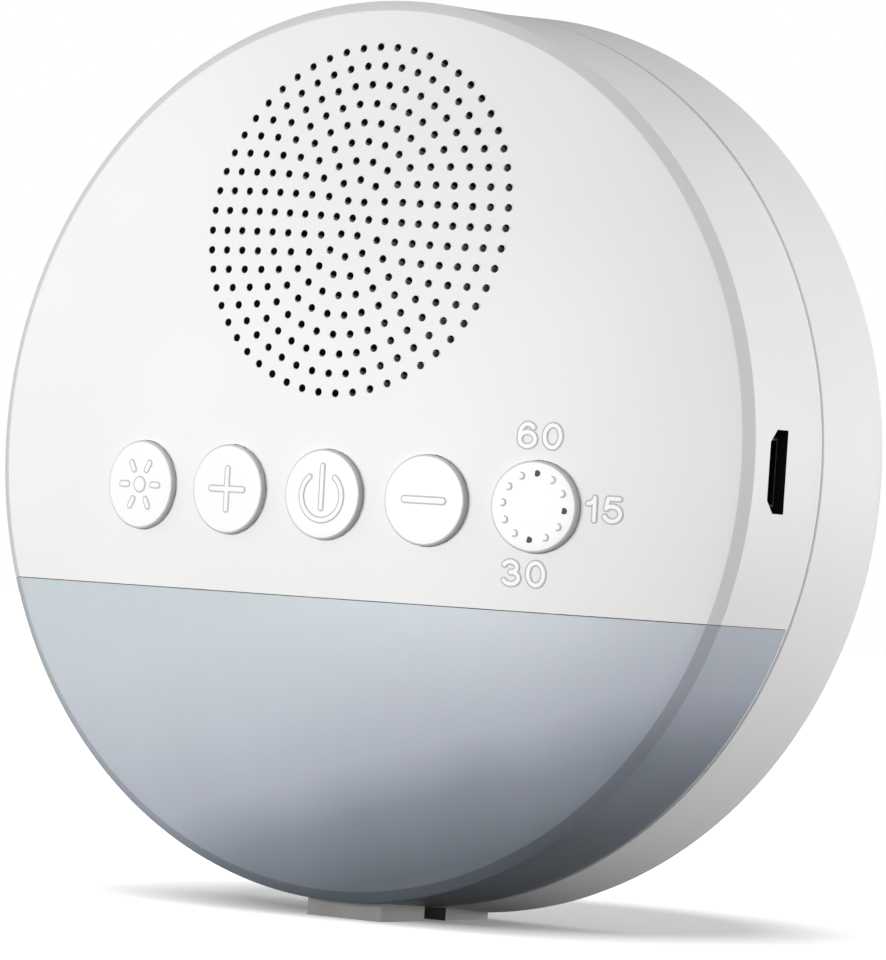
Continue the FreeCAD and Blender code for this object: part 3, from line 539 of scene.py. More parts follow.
def lathe(work, profile, middle=(0.0, 0.0), count=96, dome_end=None):
    """Turns a profile of (radius, depth) about a front-to-rear axis; ends on the axis close.
    Rows up to the dome's end are measured from the domed front."""
    rows = []
    for radius, depth in profile:
        row = []
        for i in range(count if radius > 0 else 1):
            angle = 2 * math.pi * i / count
            x, z = middle[0] + radius * math.cos(angle), middle[1] + radius * math.sin(angle)
            base = dome(x, z) if dome_end is not None and depth < dome_end else 0.0
            row.append(work.verts.new(spot(x, base + depth, z)))
        rows.append(row)
    for inner, outer in zip(rows, rows[1:]):
        for i in range(count):
            j = (i + 1) % count
            if len(inner) == 1:
                work.faces.new((inner[0], outer[i], outer[j]))
            elif len(outer) == 1:
                work.faces.new((inner[i], outer[0], inner[j]))
            else:
                work.faces.new((inner[i], outer[i], outer[j], inner[j]))


# Front of the case: the front housing above the split and the lamp cover below it

EDGE_EASE = 0.08
EDGE_DEPTH = dome(EDGE_RADIUS, 0)
BEVEL_END = EDGE_DEPTH + BEVEL_DEPTH
DISC_RADIUS = EDGE_RADIUS - EDGE_EASE
# Rows of the bevel, eased at both of its edges, as radius and depth
BEVEL_ROWS = (
    (DISC_RADIUS, dome(DISC_RADIUS, 0)),
    (EDGE_RADIUS, EDGE_DEPTH + 0.01),
    (EDGE_RADIUS + EDGE_EASE, EDGE_DEPTH + 0.06),
    (BEVEL_RADIUS - 0.08, BEVEL_END - 0.07),
    (BEVEL_RADIUS - 0.01, BEVEL_END + 0.01),
    (BEVEL_RADIUS, BEVEL_END + 0.12),
)
# The side wall, and the small lip where it meets the groove
SIDE_START = BEVEL_ROWS[-1]
SIDE_END = (PARTING_RADIUS - 0.02, FRONT_END - 0.15)
SIDE_LIP = ((PARTING_RADIUS - 0.06, FRONT_END - 0.04), (PARTING_RADIUS - 0.16, FRONT_END))

# Steps of the domed face's mesh, and how far its free points keep from edges, in millimetres
CHORD_STEPS = 56
BORE_SIDES = 72
FACE_STEP = 1.5
EDGE_CLEAR = 0.7
SPLIT_CLEAR = 0.6
BORE_CLEAR = 0.5
GRILLE_REACH = HOLE_PITCH * (HOLE_RINGS + 0.4)
BORE_RADIUS = CAP_RADIUS + CAP_GAP
# A triangle is in a hole when its middle lies within this share of the hole's radius
HOLE_SHARE = 0.98
BORE_SHARE = 0.99

# Steps and clearances of the side wall's mesh
WALL_ROWS = 8
WALL_STEP = 2.2
WALL_CLEAR = 0.8
SLOT_CLEAR = 1.0

# An opening's wall gets painted shade up to this far past the slot's edge, up to this share of a
# hole's radius, and from this far behind the face
SLOT_PAINT = 0.05
HOLE_PAINT = 1.02
HOLE_WALL_START = 0.1


def hole_places():
    """Centres of the grille's holes: rings of six times their number, each turned further."""
    places = [SPEAKER]
    for ring in range(1, HOLE_RINGS + 1):
        for i in range(6 * ring):
            angle = math.pi / 3 * i / ring + HOLE_TURN + HOLE_SWIRL * ring
            reach = HOLE_PITCH * ring
            places.append((SPEAKER[0] + reach * math.cos(angle), SPEAKER[1] + reach * math.sin(angle)))
    return places


HOLES = hole_places()


def front_face(work, height, upper):
    """The domed face above or below the level cut, with its holes."""
    turns = [side_angle(DISC_RADIUS, height, i / RIM_STEPS, upper) for i in range(RIM_STEPS + 1)]
    edge = [(DISC_RADIUS * math.cos(t), DISC_RADIUS * math.sin(t)) for t in turns]
    start, end = edge[-1], edge[0]
    chord = [
        (start[0] + (end[0] - start[0]) * i / CHORD_STEPS, height) for i in range(1, CHORD_STEPS)
    ]
    cutouts = []
    near_hole = kdtree.KDTree(len(HOLES))
    for i, place in enumerate(HOLES):
        near_hole.insert((place[0], place[1], 0), i)
    near_hole.balance()
    if upper:
        cutouts = [circle(p, HOLE_RADIUS, HOLE_SIDES) for p in HOLES]
        cutouts += [circle(p, BORE_RADIUS, BORE_SIDES) for p in BUTTONS.values()]

    def keep(point):
        x, y = point
        if math.hypot(x, y) > DISC_RADIUS - EDGE_CLEAR:
            return False
        if (upper and y < height + SPLIT_CLEAR) or (not upper and y > height - SPLIT_CLEAR):
            return False
        if upper and math.dist(point, SPEAKER) < GRILLE_REACH:
            return False
        return not upper or all(
            math.dist(point, p) > BORE_RADIUS + BORE_CLEAR for p in BUTTONS.values()
        )

    def solid(point):
        if not upper:
            return True
        if near_hole.find((point[0], point[1], 0))[2] < HOLE_RADIUS * HOLE_SHARE:
            return False
        return all(math.dist(point, p) >= BORE_RADIUS * BORE_SHARE for p in BUTTONS.values())

    reach = (-DISC_RADIUS, DISC_RADIUS)
    extra = grid(reach, reach, FACE_STEP, keep)
    places, faces = triangles([edge + chord] + cutouts, extra, ENCLOSED, FACE_WELD, solid)
    lay(work, places, faces, lambda p: spot(p.x, dome(p.x, p.y), p.y))


def slot_outline():
    """The socket's slot as (height, depth): a rectangle with its two front corners cut."""
    wide = SLOT_WIDE / 2
    near, far = SLOT_MIDDLE - SLOT_THICK / 2, SLOT_MIDDLE + SLOT_THICK / 2
    return [
        (-wide, near + SLOT_CHAMFER),
        (-wide + SLOT_CHAMFER, near),
        (wide - SLOT_CHAMFER, near),
        (wide, near + SLOT_CHAMFER),
        (wide, far - SLOT_EASE),
        (wide - SLOT_EASE, far),
        (SLOT_EASE - wide, far),
        (-wide, far - SLOT_EASE),
    ]


def side_wall(work, height, upper):
    """The wall from the bevel to the parting line, with the socket's slot on the right. It is
    laid out flat, as (distance along the wall, depth), and then bent round the case."""
    (start_radius, start), (end_radius, end) = SIDE_START, SIDE_END
    first = side_angle(start_radius, height, 0, upper)
    last = side_angle(start_radius, height, 1, upper)
    length = (start_radius + end_radius) / 2 * abs(last - first)
    depths = [start + (end - start) * i / WALL_ROWS for i in range(WALL_ROWS + 1)]
    outline = [(length * i / RIM_STEPS, start) for i in range(RIM_STEPS + 1)]
    outline += [(length, d) for d in depths[1:-1]]
    outline += [(length * i / RIM_STEPS, end) for i in range(RIM_STEPS, -1, -1)]
    outline += [(0.0, d) for d in depths[-2:0:-1]]
    slots = []
    if upper:
        middle = length * -first / (last - first)
        slots = [[(middle + h, d) for h, d in slot_outline()]]

    def keep(point):
        clear = WALL_CLEAR < point[0] < length - WALL_CLEAR
        clear = clear and start + WALL_CLEAR < point[1] < end - WALL_CLEAR
        by_slot = slots and math.dist(point, (middle, SLOT_MIDDLE)) < SLOT_WIDE / 2 + SLOT_CLEAR
        return clear and not by_slot

    def bent(p):
        share = (p.y - start) / (end - start)
        radius = start_radius + (end_radius - start_radius) * share
        angle = side_angle(radius, height, p.x / length, upper)
        return spot(radius * math.cos(angle), p.y, radius * math.sin(angle))

    extra = grid((0.0, length), (start, end), WALL_STEP, keep)
    places, faces = triangles(
        [outline] + slots, extra, ENCLOSED, FACE_WELD, lambda p: not (slots and inside(p, slots[0]))
    )
    lay(work, places, faces, bent, turned=True)


def on_bevel(side, depth, height):
    """Whether a place is on the bevel round the front."""
    reach = math.hypot(side, height)
    return EDGE_RADIUS < reach < BEVEL_RADIUS and EDGE_DEPTH < depth < BEVEL_END


def in_opening(side, depth, height):
    """Whether a place is on the wall of a grille hole or of the socket's slot, which gets painted shade."""
    if side > BEVEL_RADIUS - 2 * WALL:
        in_wall = EDGE_RADIUS < math.hypot(side, height) < BEVEL_RADIUS
        beside = abs(height) < SLOT_WIDE / 2 + SLOT_PAINT
        return in_wall and beside and abs(depth - SLOT_MIDDLE) < SLOT_THICK / 2 + SLOT_PAINT
    near = min(math.dist((side, height), place) for place in HOLES)
    return near < HOLE_RADIUS * HOLE_PAINT and depth > dome(side, height) + HOLE_WALL_START


def case_front(name, node, material, upper):
    """The front housing above the split, or the lamp below it."""
    height = -LAMP_SPLIT + (SPLIT_GAP / 2 if upper else -SPLIT_GAP / 2)
    work = bmesh.new()
    front_face(work, height, upper)
    bands(work, BEVEL_ROWS, height, upper)
    side_wall(work, height, upper)
    bands(work, (SIDE_END,) + SIDE_LIP, height, upper)
    piece = new_piece(name, with_thickness(name, work, WALL), material, "case", (node,))
    # Painted shade: the bevel band gets a darker copy of the case's or the lamp's material
    paint(piece.data, painted_shade_bevel if upper else lamp_bevel_painted_shade, on_bevel)
    if upper:
        # Painted shade: the walls of the grille holes and of the socket's slot are coloured black
        paint(piece.data, painted_shade_opening, in_opening)


# Rear shell

REAR_WALL = 1.2
# The land at the bottom of the groove, and the lip behind it that enters the front
LAND_RADIUS = PARTING_RADIUS - 0.2
LIP_OUTSIDE = LAND_RADIUS - 0.75
LIP_INSIDE = LAND_RADIUS - 1.4
LIP_REACH = 1.2
LIP_CLEAR = 0.02
REAR_EASE = 0.12
REAR_TURN = REAR_RADIUS - REAR_ROUND
CROWN_RISE = CASE_DEPTH - REAR_EDGE
CROWN_RADIUS = (REAR_TURN**2 + CROWN_RISE**2) / (2 * CROWN_RISE)
# Steps and clearances of the back's mesh, and the width over which it runs into the round edge
REAR_WALL_ROWS = 6
ROUND_ROWS = 12
ROUND_END = 86
BACK_STEP = 3.0
BACK_CLEAR = 1.2
BACK_BLEND = 4.0
# Screw recesses: an eased mouth, a long wall and a floor with the screw's way through it
RECESS_SIDES = 40
RECESS_MOUTH = RECESS_RADIUS + 0.25
RECESS_MOUTH_ROWS = ((RECESS_MOUTH, 0.0), (RECESS_RADIUS + 0.07, 0.07), (RECESS_RADIUS, 0.25))
RECESS_CLEAR = RECESS_RADIUS + 0.9
RECESS_INNER = RECESS_RADIUS + 0.2
SCREW_WAY = 1.5
RECESS_FLOOR_ROWS = (
    (RECESS_RADIUS, RECESS_DEPTH), (SCREW_WAY, RECESS_DEPTH), (SCREW_WAY, RECESS_DEPTH - 2.4)
)


def rear_profile():
    """The rear shell's lip, land, side wall and rounded edge, as radius and depth."""
    rows = [
        (LIP_INSIDE, FRONT_END - LIP_REACH),
        (LIP_OUTSIDE, FRONT_END - LIP_REACH),
        (LIP_OUTSIDE, FRONT_END + LIP_CLEAR),
        (LAND_RADIUS, FRONT_END + LIP_CLEAR),
        (LAND_RADIUS, REAR_START),
        (PARTING_RADIUS - REAR_EASE, REAR_START),
        (PARTING_RADIUS + 0.01, REAR_START + REAR_EASE),
    ]
    turn_depth = REAR_EDGE - REAR_ROUND
    for i in range(1, REAR_WALL_ROWS):
        share = i / REAR_WALL_ROWS
        rows.append((
            PARTING_RADIUS + (REAR_RADIUS - PARTING_RADIUS) * share,
            REAR_START + (turn_depth - REAR_START) * share,
        ))
    return rows + arc((REAR_TURN, turn_depth), REAR_ROUND, REAR_ROUND, 0, ROUND_END, ROUND_ROWS)


REAR_ROWS = rear_profile()
BACK_RADIUS, BACK_START = REAR_ROWS[-1]


def crown(reach):
    """Depth of the crowned rear face at a distance from the middle."""
    return CASE_DEPTH - CROWN_RADIUS + math.sqrt(CROWN_RADIUS**2 - reach**2)


def back(side, height):
    """Depth of the back: the crowned face, led into the rounded edge."""
    reach = math.hypot(side, height)
    step = BACK_START - crown(BACK_RADIUS)
    return crown(reach) + step * max(0.0, 1 - (BACK_RADIUS - reach) / BACK_BLEND)


def away(point, distance):
    """Whether a point is farther than that from every screw recess's middle."""
    return all(math.dist(point, p) > distance for p in CASE_SCREWS)


def back_face(work):
    """The crowned back with the openings of the screw recesses."""
    recesses = [circle(p, RECESS_MOUTH, RECESS_SIDES) for p in CASE_SCREWS]
    outline = circle((0.0, 0.0), BACK_RADIUS, RIM_STEPS)
    reach = (-REAR_TURN, REAR_TURN)
    extra = grid(
        reach,
        reach,
        BACK_STEP,
        lambda p: math.hypot(*p) <= BACK_RADIUS - BACK_CLEAR and away(p, RECESS_CLEAR),
    )
    places, faces = triangles(
        [outline] + recesses, extra, ENCLOSED, FACE_WELD, lambda p: away(p, RECESS_INNER)
    )
    lay(work, places, faces, lambda p: spot(p.x, back(p.x, p.y), p.y), turned=True)


def screw_recess(work, place):
    """One recess, from its eased mouth to the screw's way through its floor."""
    rows = [
        [work.verts.new(spot(x, back(x, z) - drop, z)) for x, z in circle(place, radius, RECESS_SIDES)]
        for radius, drop in RECESS_MOUTH_ROWS
    ]
    rows += [
        [work.verts.new(spot(x, depth, z)) for x, z in circle(place, radius, RECESS_SIDES)]
        for radius, depth in RECESS_FLOOR_ROWS
    ]
    for inner, outer in zip(rows, rows[1:]):
        for i in range(RECESS_SIDES):
            j = (i + 1) % RECESS_SIDES
            work.faces.new((outer[i], inner[i], inner[j], outer[j]))


def rear_case():
    """The rear shell with its lip, groove land, side wall, rounded edge, back and recesses."""
    work = bmesh.new()
    lathe(work, REAR_ROWS, count=RIM_STEPS)
    back_face(work)
    for place in CASE_SCREWS:
        screw_recess(work, place)
    mesh = with_thickness("rear_shell", work, REAR_WALL)
    new_piece("rear_shell", mesh, white_abs, "case", ("rear_housing",))


# Button caps

CAP_TOP_ROWS = [CAP_RADIUS * share for share in (0.15, 0.35, 0.55, 0.75)]
CAP_EDGE_STEPS = 6
CAP_WALL_ROW = 2.0
# Rows of a cap in front of this depth follow the front's dome
CAP_DOME_END = FLANGE_START - 2


def button_cap(name, middle):
    """A cap whose top follows the front's dome, with an eased edge and its inner flange."""
    work = bmesh.new()
    profile = [(0.0, -CAP_PROUD)] + [(radius, -CAP_PROUD) for radius in CAP_TOP_ROWS]
    edge_middle = (CAP_RADIUS - CAP_EDGE, CAP_EDGE - CAP_PROUD)
    profile += arc(edge_middle, CAP_EDGE, CAP_EDGE, -90, 0, CAP_EDGE_STEPS)
    profile += [
        (CAP_RADIUS, CAP_WALL_ROW),
        (CAP_RADIUS, FLANGE_START),
        (FLANGE_RADIUS, FLANGE_START),
        (FLANGE_RADIUS, FLANGE_END),
        (STEM_RADIUS, FLANGE_END),
        (STEM_RADIUS, PLUNGER_FRONT),
        (0.0, PLUNGER_FRONT),
    ]
    lathe(work, profile, middle, dome_end=CAP_DOME_END)
    mesh = mesh_from(f"{name}_cap", work, PART_CREASE)
    piece = new_piece(f"{name}_cap", mesh, cap_abs, f"{name}_key", (f"{name}_button",))
    # Painted shade: the cap's eased edge and wall get the grey wall material
    paint(piece.data, cap_wall_painted_shade, lambda x, y, z: math.dist((x, z), middle) > CAP_RADIUS - CAP_EDGE)


# Signs

SIGN_LIFT = 0.07
SHADOW_LINE_LIFT = 0.03
SHADOW_LINE_WIDTH = 0.17
# How deep a sign's foot goes into the surface that carries it
SIGN_ROOT = 0.05
# Steps of a stroke's round end, the length of a stroke that is only a dot, and what counts as none
END_STEPS = 10
DOT_LENGTH = 0.01
TINY = 1e-6

SUN_RADIUS = 0.8
RAY_COUNT = 6
RAY_REACH = 2.4
RAY_LENGTH = 0.9
RAY_STROKE = 0.5
PLUS_LENGTH = 4.6
PLUS_STROKE = 0.5
MINUS_LENGTH = 4.8
MINUS_STROKE = 0.6
POWER_RADIUS = 2.7
POWER_DROP = 0.2
POWER_START, POWER_STOP = 129, 411
POWER_BAR = 4.7
POWER_BAR_RISE = 0.8
POWER_STROKE = 0.45
UPRIGHT = math.pi / 2

# Numbers: the centre lines of their strokes
DIGIT_HIGH = 2.45
DIGIT_WIDE = 1.85
DIGIT_STROKE = 0.42
DIGIT_STEP = 2.95
# A 1 needs only this share of a figure's room
NARROW_STEP = 0.72
# The middle of each number on the front
LABELS = {"sixty": ("60", (27.15, 2.35)), "fifteen": ("15", (34.95, -5.3)), "thirty": ("30", (26.0, -12.8))}


def line(middle, length, turn=0.0):
    """The two ends of a straight stroke."""
    x, y = math.cos(turn) * length / 2, math.sin(turn) * length / 2
    return [(middle[0] - x, middle[1] - y), (middle[0] + x, middle[1] + y)]


def stroke_loops(path, width):
    """Outlines at half a width from a path: one with round ends, or two round a closed path."""
    closed = math.dist(path[0], path[-1]) < TINY
    left, right, normals = [], [], []
    last = len(path) - 1
    for i, (x, y) in enumerate(path):
        before = path[i - 1 if i else (last - 1 if closed else 0)]
        after = path[i + 1 if i < last else (1 if closed else last)]
        along = math.atan2(after[1] - before[1], after[0] - before[0])
        normal = along + math.pi / 2
        normals.append(normal)
        left.append((x + math.cos(normal) * width / 2, y + math.sin(normal) * width / 2))
        right.append((x - math.cos(normal) * width / 2, y - math.sin(normal) * width / 2))
    if closed:
        return [left[:-1], right[:-1]]
    ends = []
    for at, normal in ((path[-1], normals[-1]), (path[0], normals[0] + math.pi)):
        turns = [normal - math.pi * k / END_STEPS for k in range(1, END_STEPS)]
        ends.append([(at[0] + math.cos(t) * width / 2, at[1] + math.sin(t) * width / 2) for t in turns])
    return [left + ends[0] + right[::-1] + ends[1]]


def distance_to(point, path):
    """Distance from a point to a path of straight lengths."""
    best = math.inf
    for (x1, y1), (x2, y2) in zip(path, path[1:]):
        dx, dy = x2 - x1, y2 - y1
        share = ((point[0] - x1) * dx + (point[1] - y1) * dy) / max(dx * dx + dy * dy, TINY**2)
        share = min(1.0, max(0.0, share))
        best = min(best, math.dist(point, (x1 + dx * share, y1 + dy * share)))
    return best


def flat_sign(strokes, grow):
    """Flat triangles that fill strokes, given as (path, width), grown by a width all round."""
    loops = [loop for path, width in strokes for loop in stroke_loops(path, width + 2 * grow)]

    def in_stroke(point):
        return any(distance_to(point, path) < width / 2 + grow for path, width in strokes)

    return triangles(loops, [], SPANNED, SIGN_WELD, in_stroke)


def raise_sign(name, strokes, base, body):
    """A white sign raised on the dome, or on a cap that far in front of it, with a thin line of
    painted shadow round it."""
    for part, grow, lift, material in (
        ("sign", 0.0, SIGN_LIFT, sign_abs),
        ("edge", SHADOW_LINE_WIDTH, SHADOW_LINE_LIFT, painted_shadow_line),
    ):
        places, faces = flat_sign(strokes, grow)
        work = bmesh.new()
        lay(work, places, faces, lambda p: (p.x, p.y, 0))
        bmesh.ops.delete(work, geom=[v for v in work.verts if not v.link_faces], context="VERTS")
        top = bmesh.ops.extrude_face_region(work, geom=work.faces[:])
        upper = {v for v in top["geom"] if isinstance(v, bmesh.types.BMVert)}
        for vert in work.verts:
            x, z = vert.co.x, vert.co.y
            vert.co = spot(x, dome(x, z) - base - (lift if vert in upper else -SIGN_ROOT), z)
        bmesh.ops.recalc_face_normals(work, faces=work.faces[:])
        mesh = mesh_from(f"{name}_{part}", work, SIGN_CREASE)
        new_piece(f"{name}_{part}", mesh, material, body, ())


def light_sign(middle):
    """A sun: a dot with short rays round it."""
    strokes = [(line(middle, DOT_LENGTH), 2 * SUN_RADIUS)]
    for i in range(RAY_COUNT):
        angle = math.radians(360 / RAY_COUNT * i)
        place = (middle[0] + RAY_REACH * math.cos(angle), middle[1] + RAY_REACH * math.sin(angle))
        strokes.append((line(place, RAY_LENGTH, angle), RAY_STROKE))
    return strokes


def plus_sign(middle):
    """Two crossed bars."""
    return [(line(middle, PLUS_LENGTH), PLUS_STROKE), (line(middle, PLUS_LENGTH, UPRIGHT), PLUS_STROKE)]


def minus_sign(middle):
    """One level bar."""
    return [(line(middle, MINUS_LENGTH), MINUS_STROKE)]


def power_sign(middle):
    """A ring that is open at its top, with a bar through the opening."""
    ring_middle = (middle[0], middle[1] - POWER_DROP)
    ring = arc(ring_middle, POWER_RADIUS, POWER_RADIUS, POWER_START, POWER_STOP)
    bar = line((middle[0], middle[1] + POWER_BAR_RISE), POWER_BAR, UPRIGHT)
    return [(ring, POWER_STROKE), (bar, POWER_STROKE)]


SIGNS = {"light": light_sign, "plus": plus_sign, "power": power_sign, "minus": minus_sign}


def digit(figure, left, low):
    """Strokes of one figure that stands on a line; its arcs are shares of its size."""
    wide, high = DIGIT_WIDE, DIGIT_HIGH
    middle = left + wide / 2
    if figure == "0":
        paths = [arc((middle, low + high / 2), wide / 2, high / 2, 0, 360, 40)]
    elif figure == "6":
        bowl = arc((middle, low + 0.32 * high), wide / 2, 0.32 * high, 0, 360, 36)
        paths = [bowl, arc((middle, low + high / 2), wide / 2, high / 2, 45, 200)]
    elif figure == "3":
        upper = arc((middle - 0.03 * wide, low + 0.76 * high), 0.42 * wide, 0.24 * high, 160, -90)
        lower = arc((middle, low + 0.27 * high), 0.5 * wide, 0.27 * high, 90, -155)
        paths = [upper, lower]
    elif figure == "5":
        bowl = arc((middle, low + 0.33 * high), wide / 2, 0.33 * high, 140, -155)
        corner = (left + 0.22 * wide, low + high)
        paths = [bowl, [corner, bowl[0]], [corner, (left + 0.92 * wide, low + high)]]
    else:
        stem = left + 0.55 * wide
        flag = arc((stem - 0.42 * wide, low + high), 0.42 * wide, 0.26 * high, -90, 0, 10)
        paths = [[(stem, low), (stem, low + high)], flag]
    return [(path, DIGIT_STROKE) for path in paths]


def number_label(name, text, middle):
    """A number of two figures on the front."""
    low = middle[1] - DIGIT_HIGH / 2
    step = DIGIT_STEP * (NARROW_STEP if "1" in text else 1.0)
    left = middle[0] - (step + DIGIT_WIDE) / 2
    strokes = digit(text[0], left, low) + digit(text[1], left + step, low)
    raise_sign(name, strokes, 0.0, "case")


# Pieces that repeat, made by node trees

# The rolled rim inside each grille hole
RIM_REACH = 0.03
RIM_SECTION = 0.07
# The dots round the timer: their circle, its lean against the clock, and their sizes
DOT_RING = 3.65
DOT_LEAN = 4.5
DOT_THICK = 0.2
HOURS = range(12)
BLACK_HOURS = (0, 3, 6)
PALE_HOURS = [hour for hour in HOURS if hour not in BLACK_HOURS]
# Name, hours, radius, how far it stands out, and material of each set of dots
DOT_SETS = (
    ("timer_black_dots", BLACK_HOURS, 0.36, 0.04, black_ink),
    ("timer_pale_dots", PALE_HOURS, 0.28, 0.04, sign_abs),
    # The pale dots' grey rings are painted shadow
    ("timer_dot_painted_shadows", PALE_HOURS, 0.46, 0.02, painted_shadow_line),
)
SCREW_SIZES = {
    "Head Radius": 2.3 * MM,
    "Head Top": 1.7 * MM,
    "Head Height": 1.6 * MM,
    "Shank Radius": 1.15 * MM,
    "Shank Length": 10.0 * MM,
}
# The screw's cross-shaped drive: length, width and depth of its arms, and how high they start
DRIVE_LONG = 2.6 * MM
DRIVE_WIDE = 0.55 * MM
DRIVE_DEEP = 1.6 * MM
DRIVE_HIGH = 1.7 * MM
QUARTER_TURN = math.radians(90)


def points_object(name, places):
    """An object that is only points, one for each copy."""
    mesh = bpy.data.meshes.new(name)
    mesh.from_pydata([spot(*p) for p in places], [], [])
    carrier = bpy.data.objects.new(name, mesh)
    bpy.context.scene.collection.objects.link(carrier)
    return carrier


def repeat_tree(name, sizes, form):
    """Node tree that sets one form on every point and ends as a plain mesh with a material."""
    tree = bpy.data.node_groups.new(name, "GeometryNodeTree")
    tree.interface.new_socket("Points", in_out="INPUT", socket_type="NodeSocketGeometry")
    for label in sizes:
        tree.interface.new_socket(label, in_out="INPUT", socket_type="NodeSocketFloat")
    tree.interface.new_socket("Material", in_out="INPUT", socket_type="NodeSocketMaterial")
    tree.interface.new_socket("Mesh", in_out="OUTPUT", socket_type="NodeSocketGeometry")
    given = add(tree, "NodeGroupInput")
    shape = form(tree, given)
    copies = add(
        tree, "GeometryNodeInstanceOnPoints", {}, {"Points": given.outputs["Points"], "Instance": shape}
    )
    whole = add(tree, "GeometryNodeRealizeInstances", {}, {"Geometry": copies.outputs["Instances"]})
    coloured = add(
        tree,
        "GeometryNodeSetMaterial",
        {},
        {"Geometry": whole.outputs["Geometry"], "Material": given.outputs["Material"]},
    )
    add(tree, "NodeGroupOutput", {}, {"Mesh": coloured.outputs["Geometry"]})
    return tree


def repeated(name, places, tree, sizes, material, body, stands_for=()):
    """Runs a repeat tree on the places and keeps its result as a plain mesh."""
    carrier = points_object(name + "_points", places)
    modifier = carrier.modifiers.new("repeat", "NODES")
    modifier.node_group = tree
    sockets = {s.name: s.identifier for s in tree.interface.items_tree if s.in_out == "INPUT"}
    for label, size in sizes.items():
        modifier[sockets[label]] = size
    modifier[sockets["Material"]] = material
    graph = bpy.context.evaluated_depsgraph_get()
    mesh = bpy.data.meshes.new_from_object(carrier.evaluated_get(graph))
    bpy.data.objects.remove(carrier)
    work = bmesh.new()
    work.from_mesh(mesh)
    new_piece(name, mesh_from(name, work, PART_CREASE), material, body, stands_for)


def ring_form(tree, given):
    """A ring of round section that faces the front."""
    path = add(
        tree,
        "GeometryNodeCurvePrimitiveCircle",
        {"Resolution": 16},
        {"Radius": given.outputs["Ring Radius"]},
    )
    section = add(
        tree, "GeometryNodeCurvePrimitiveCircle", {"Resolution": 6}, {"Radius": given.outputs["Section"]}
    )
    tube = add(
        tree,
        "GeometryNodeCurveToMesh",
        {},
        {"Curve": path.outputs["Curve"], "Profile Curve": section.outputs["Curve"]},
    )
    faced = add(
        tree, "GeometryNodeTransform", {"Rotation": (QUARTER_TURN, 0, 0)}, {"Geometry": tube.outputs["Mesh"]}
    )
    return faced.outputs["Geometry"]


def dot_form(tree, given):
    """A low round dot that faces the front."""
    disc = add(
        tree,
        "GeometryNodeMeshCylinder",
        {"Vertices": 20},
        {"Radius": given.outputs["Dot Radius"], "Depth": given.outputs["Dot Height"]},
    )
    faced = add(
        tree, "GeometryNodeTransform", {"Rotation": (QUARTER_TURN, 0, 0)}, {"Geometry": disc.outputs["Mesh"]}
    )
    return faced.outputs["Geometry"]


def screw_head(tree, given):
    """A pan head with a cross-shaped drive."""
    head = add(
        tree,
        "GeometryNodeMeshCone",
        {"Vertices": 32},
        {
            "Radius Top": given.outputs["Head Top"],
            "Radius Bottom": given.outputs["Head Radius"],
            "Depth": given.outputs["Head Height"],
        },
    )
    drive = add(
        tree, "GeometryNodeMeshBoolean", {"operation": "DIFFERENCE"}, {"Mesh 1": head.outputs["Mesh"]}
    )
    for size in ((DRIVE_LONG, DRIVE_WIDE, DRIVE_DEEP), (DRIVE_WIDE, DRIVE_LONG, DRIVE_DEEP)):
        arm = add(tree, "GeometryNodeMeshCube", {"Size": size})
        raised = add(
            tree,
            "GeometryNodeTransform",
            {"Translation": (0, 0, DRIVE_HIGH)},
            {"Geometry": arm.outputs["Mesh"]},
        )
        tree.links.new(raised.outputs["Geometry"], drive.inputs["Mesh 2"])
    return drive.outputs["Mesh"]


def screw_form(tree, given):
    """A screw's head, facing the rear, on its shank."""
    head = screw_head(tree, given)
    shank = add(
        tree,
        "GeometryNodeMeshCylinder",
        {"Vertices": 20},
        {"Radius": given.outputs["Shank Radius"], "Depth": given.outputs["Shank Length"]},
    )
    half = add(tree, "ShaderNodeMath", {"operation": "MULTIPLY", 1: -0.5}, {0: given.outputs["Shank Length"]})
    drop = add(tree, "ShaderNodeCombineXYZ", {}, {"Z": half.outputs["Value"]})
    low_shank = add(
        tree,
        "GeometryNodeTransform",
        {},
        {"Geometry": shank.outputs["Mesh"], "Translation": drop.outputs["Vector"]},
    )
    both = add(tree, "GeometryNodeJoinGeometry")
    tree.links.new(head, both.inputs["Geometry"])
    tree.links.new(low_shank.outputs["Geometry"], both.inputs["Geometry"])
    faced = add(
        tree,
        "GeometryNodeTransform",
        {"Rotation": (-QUARTER_TURN, 0, 0)},
        {"Geometry": both.outputs["Geometry"]},
    )
    return faced.outputs["Geometry"]


def grille_rims():
    """The rolled rim of every grille hole."""
    tree = repeat_tree("grille_rims", ("Ring Radius", "Section"), ring_form)
    places = [(x, dome(x, z) + RIM_SECTION, z) for x, z in HOLES]
    sizes = {"Ring Radius": (HOLE_RADIUS + RIM_REACH) * MM, "Section": RIM_SECTION * MM}
    repeated("grille_rims", places, tree, sizes, white_abs, "case")


def timer_dots():
    """The clock-like ring of dots on the timer button; three of them are black."""
    tree = repeat_tree("timer_dots", ("Dot Radius", "Dot Height"), dot_form)
    middle = BUTTONS["timer"]
    for name, hours, radius, lift, material in DOT_SETS:
        places = []
        for hour in hours:
            angle = math.radians(90 - 30 * hour - DOT_LEAN)
            x, z = middle[0] + DOT_RING * math.cos(angle), middle[1] + DOT_RING * math.sin(angle)
            places.append((x, dome(x, z) - CAP_PROUD - lift + DOT_THICK / 2, z))
        sizes = {"Dot Radius": radius * MM, "Dot Height": DOT_THICK * MM}
        repeated(name, places, tree, sizes, material, "timer_key")


def case_screws():
    """The four screws at the bottom of their recesses."""
    tree = repeat_tree("case_screws", tuple(SCREW_SIZES), screw_form)
    places = [(x, RECESS_DEPTH, z) for x, z in CASE_SCREWS]
    repeated(
        "case_screw_set", places, tree, SCREW_SIZES, zinc_steel, "case", ("housing_screws",)
    )


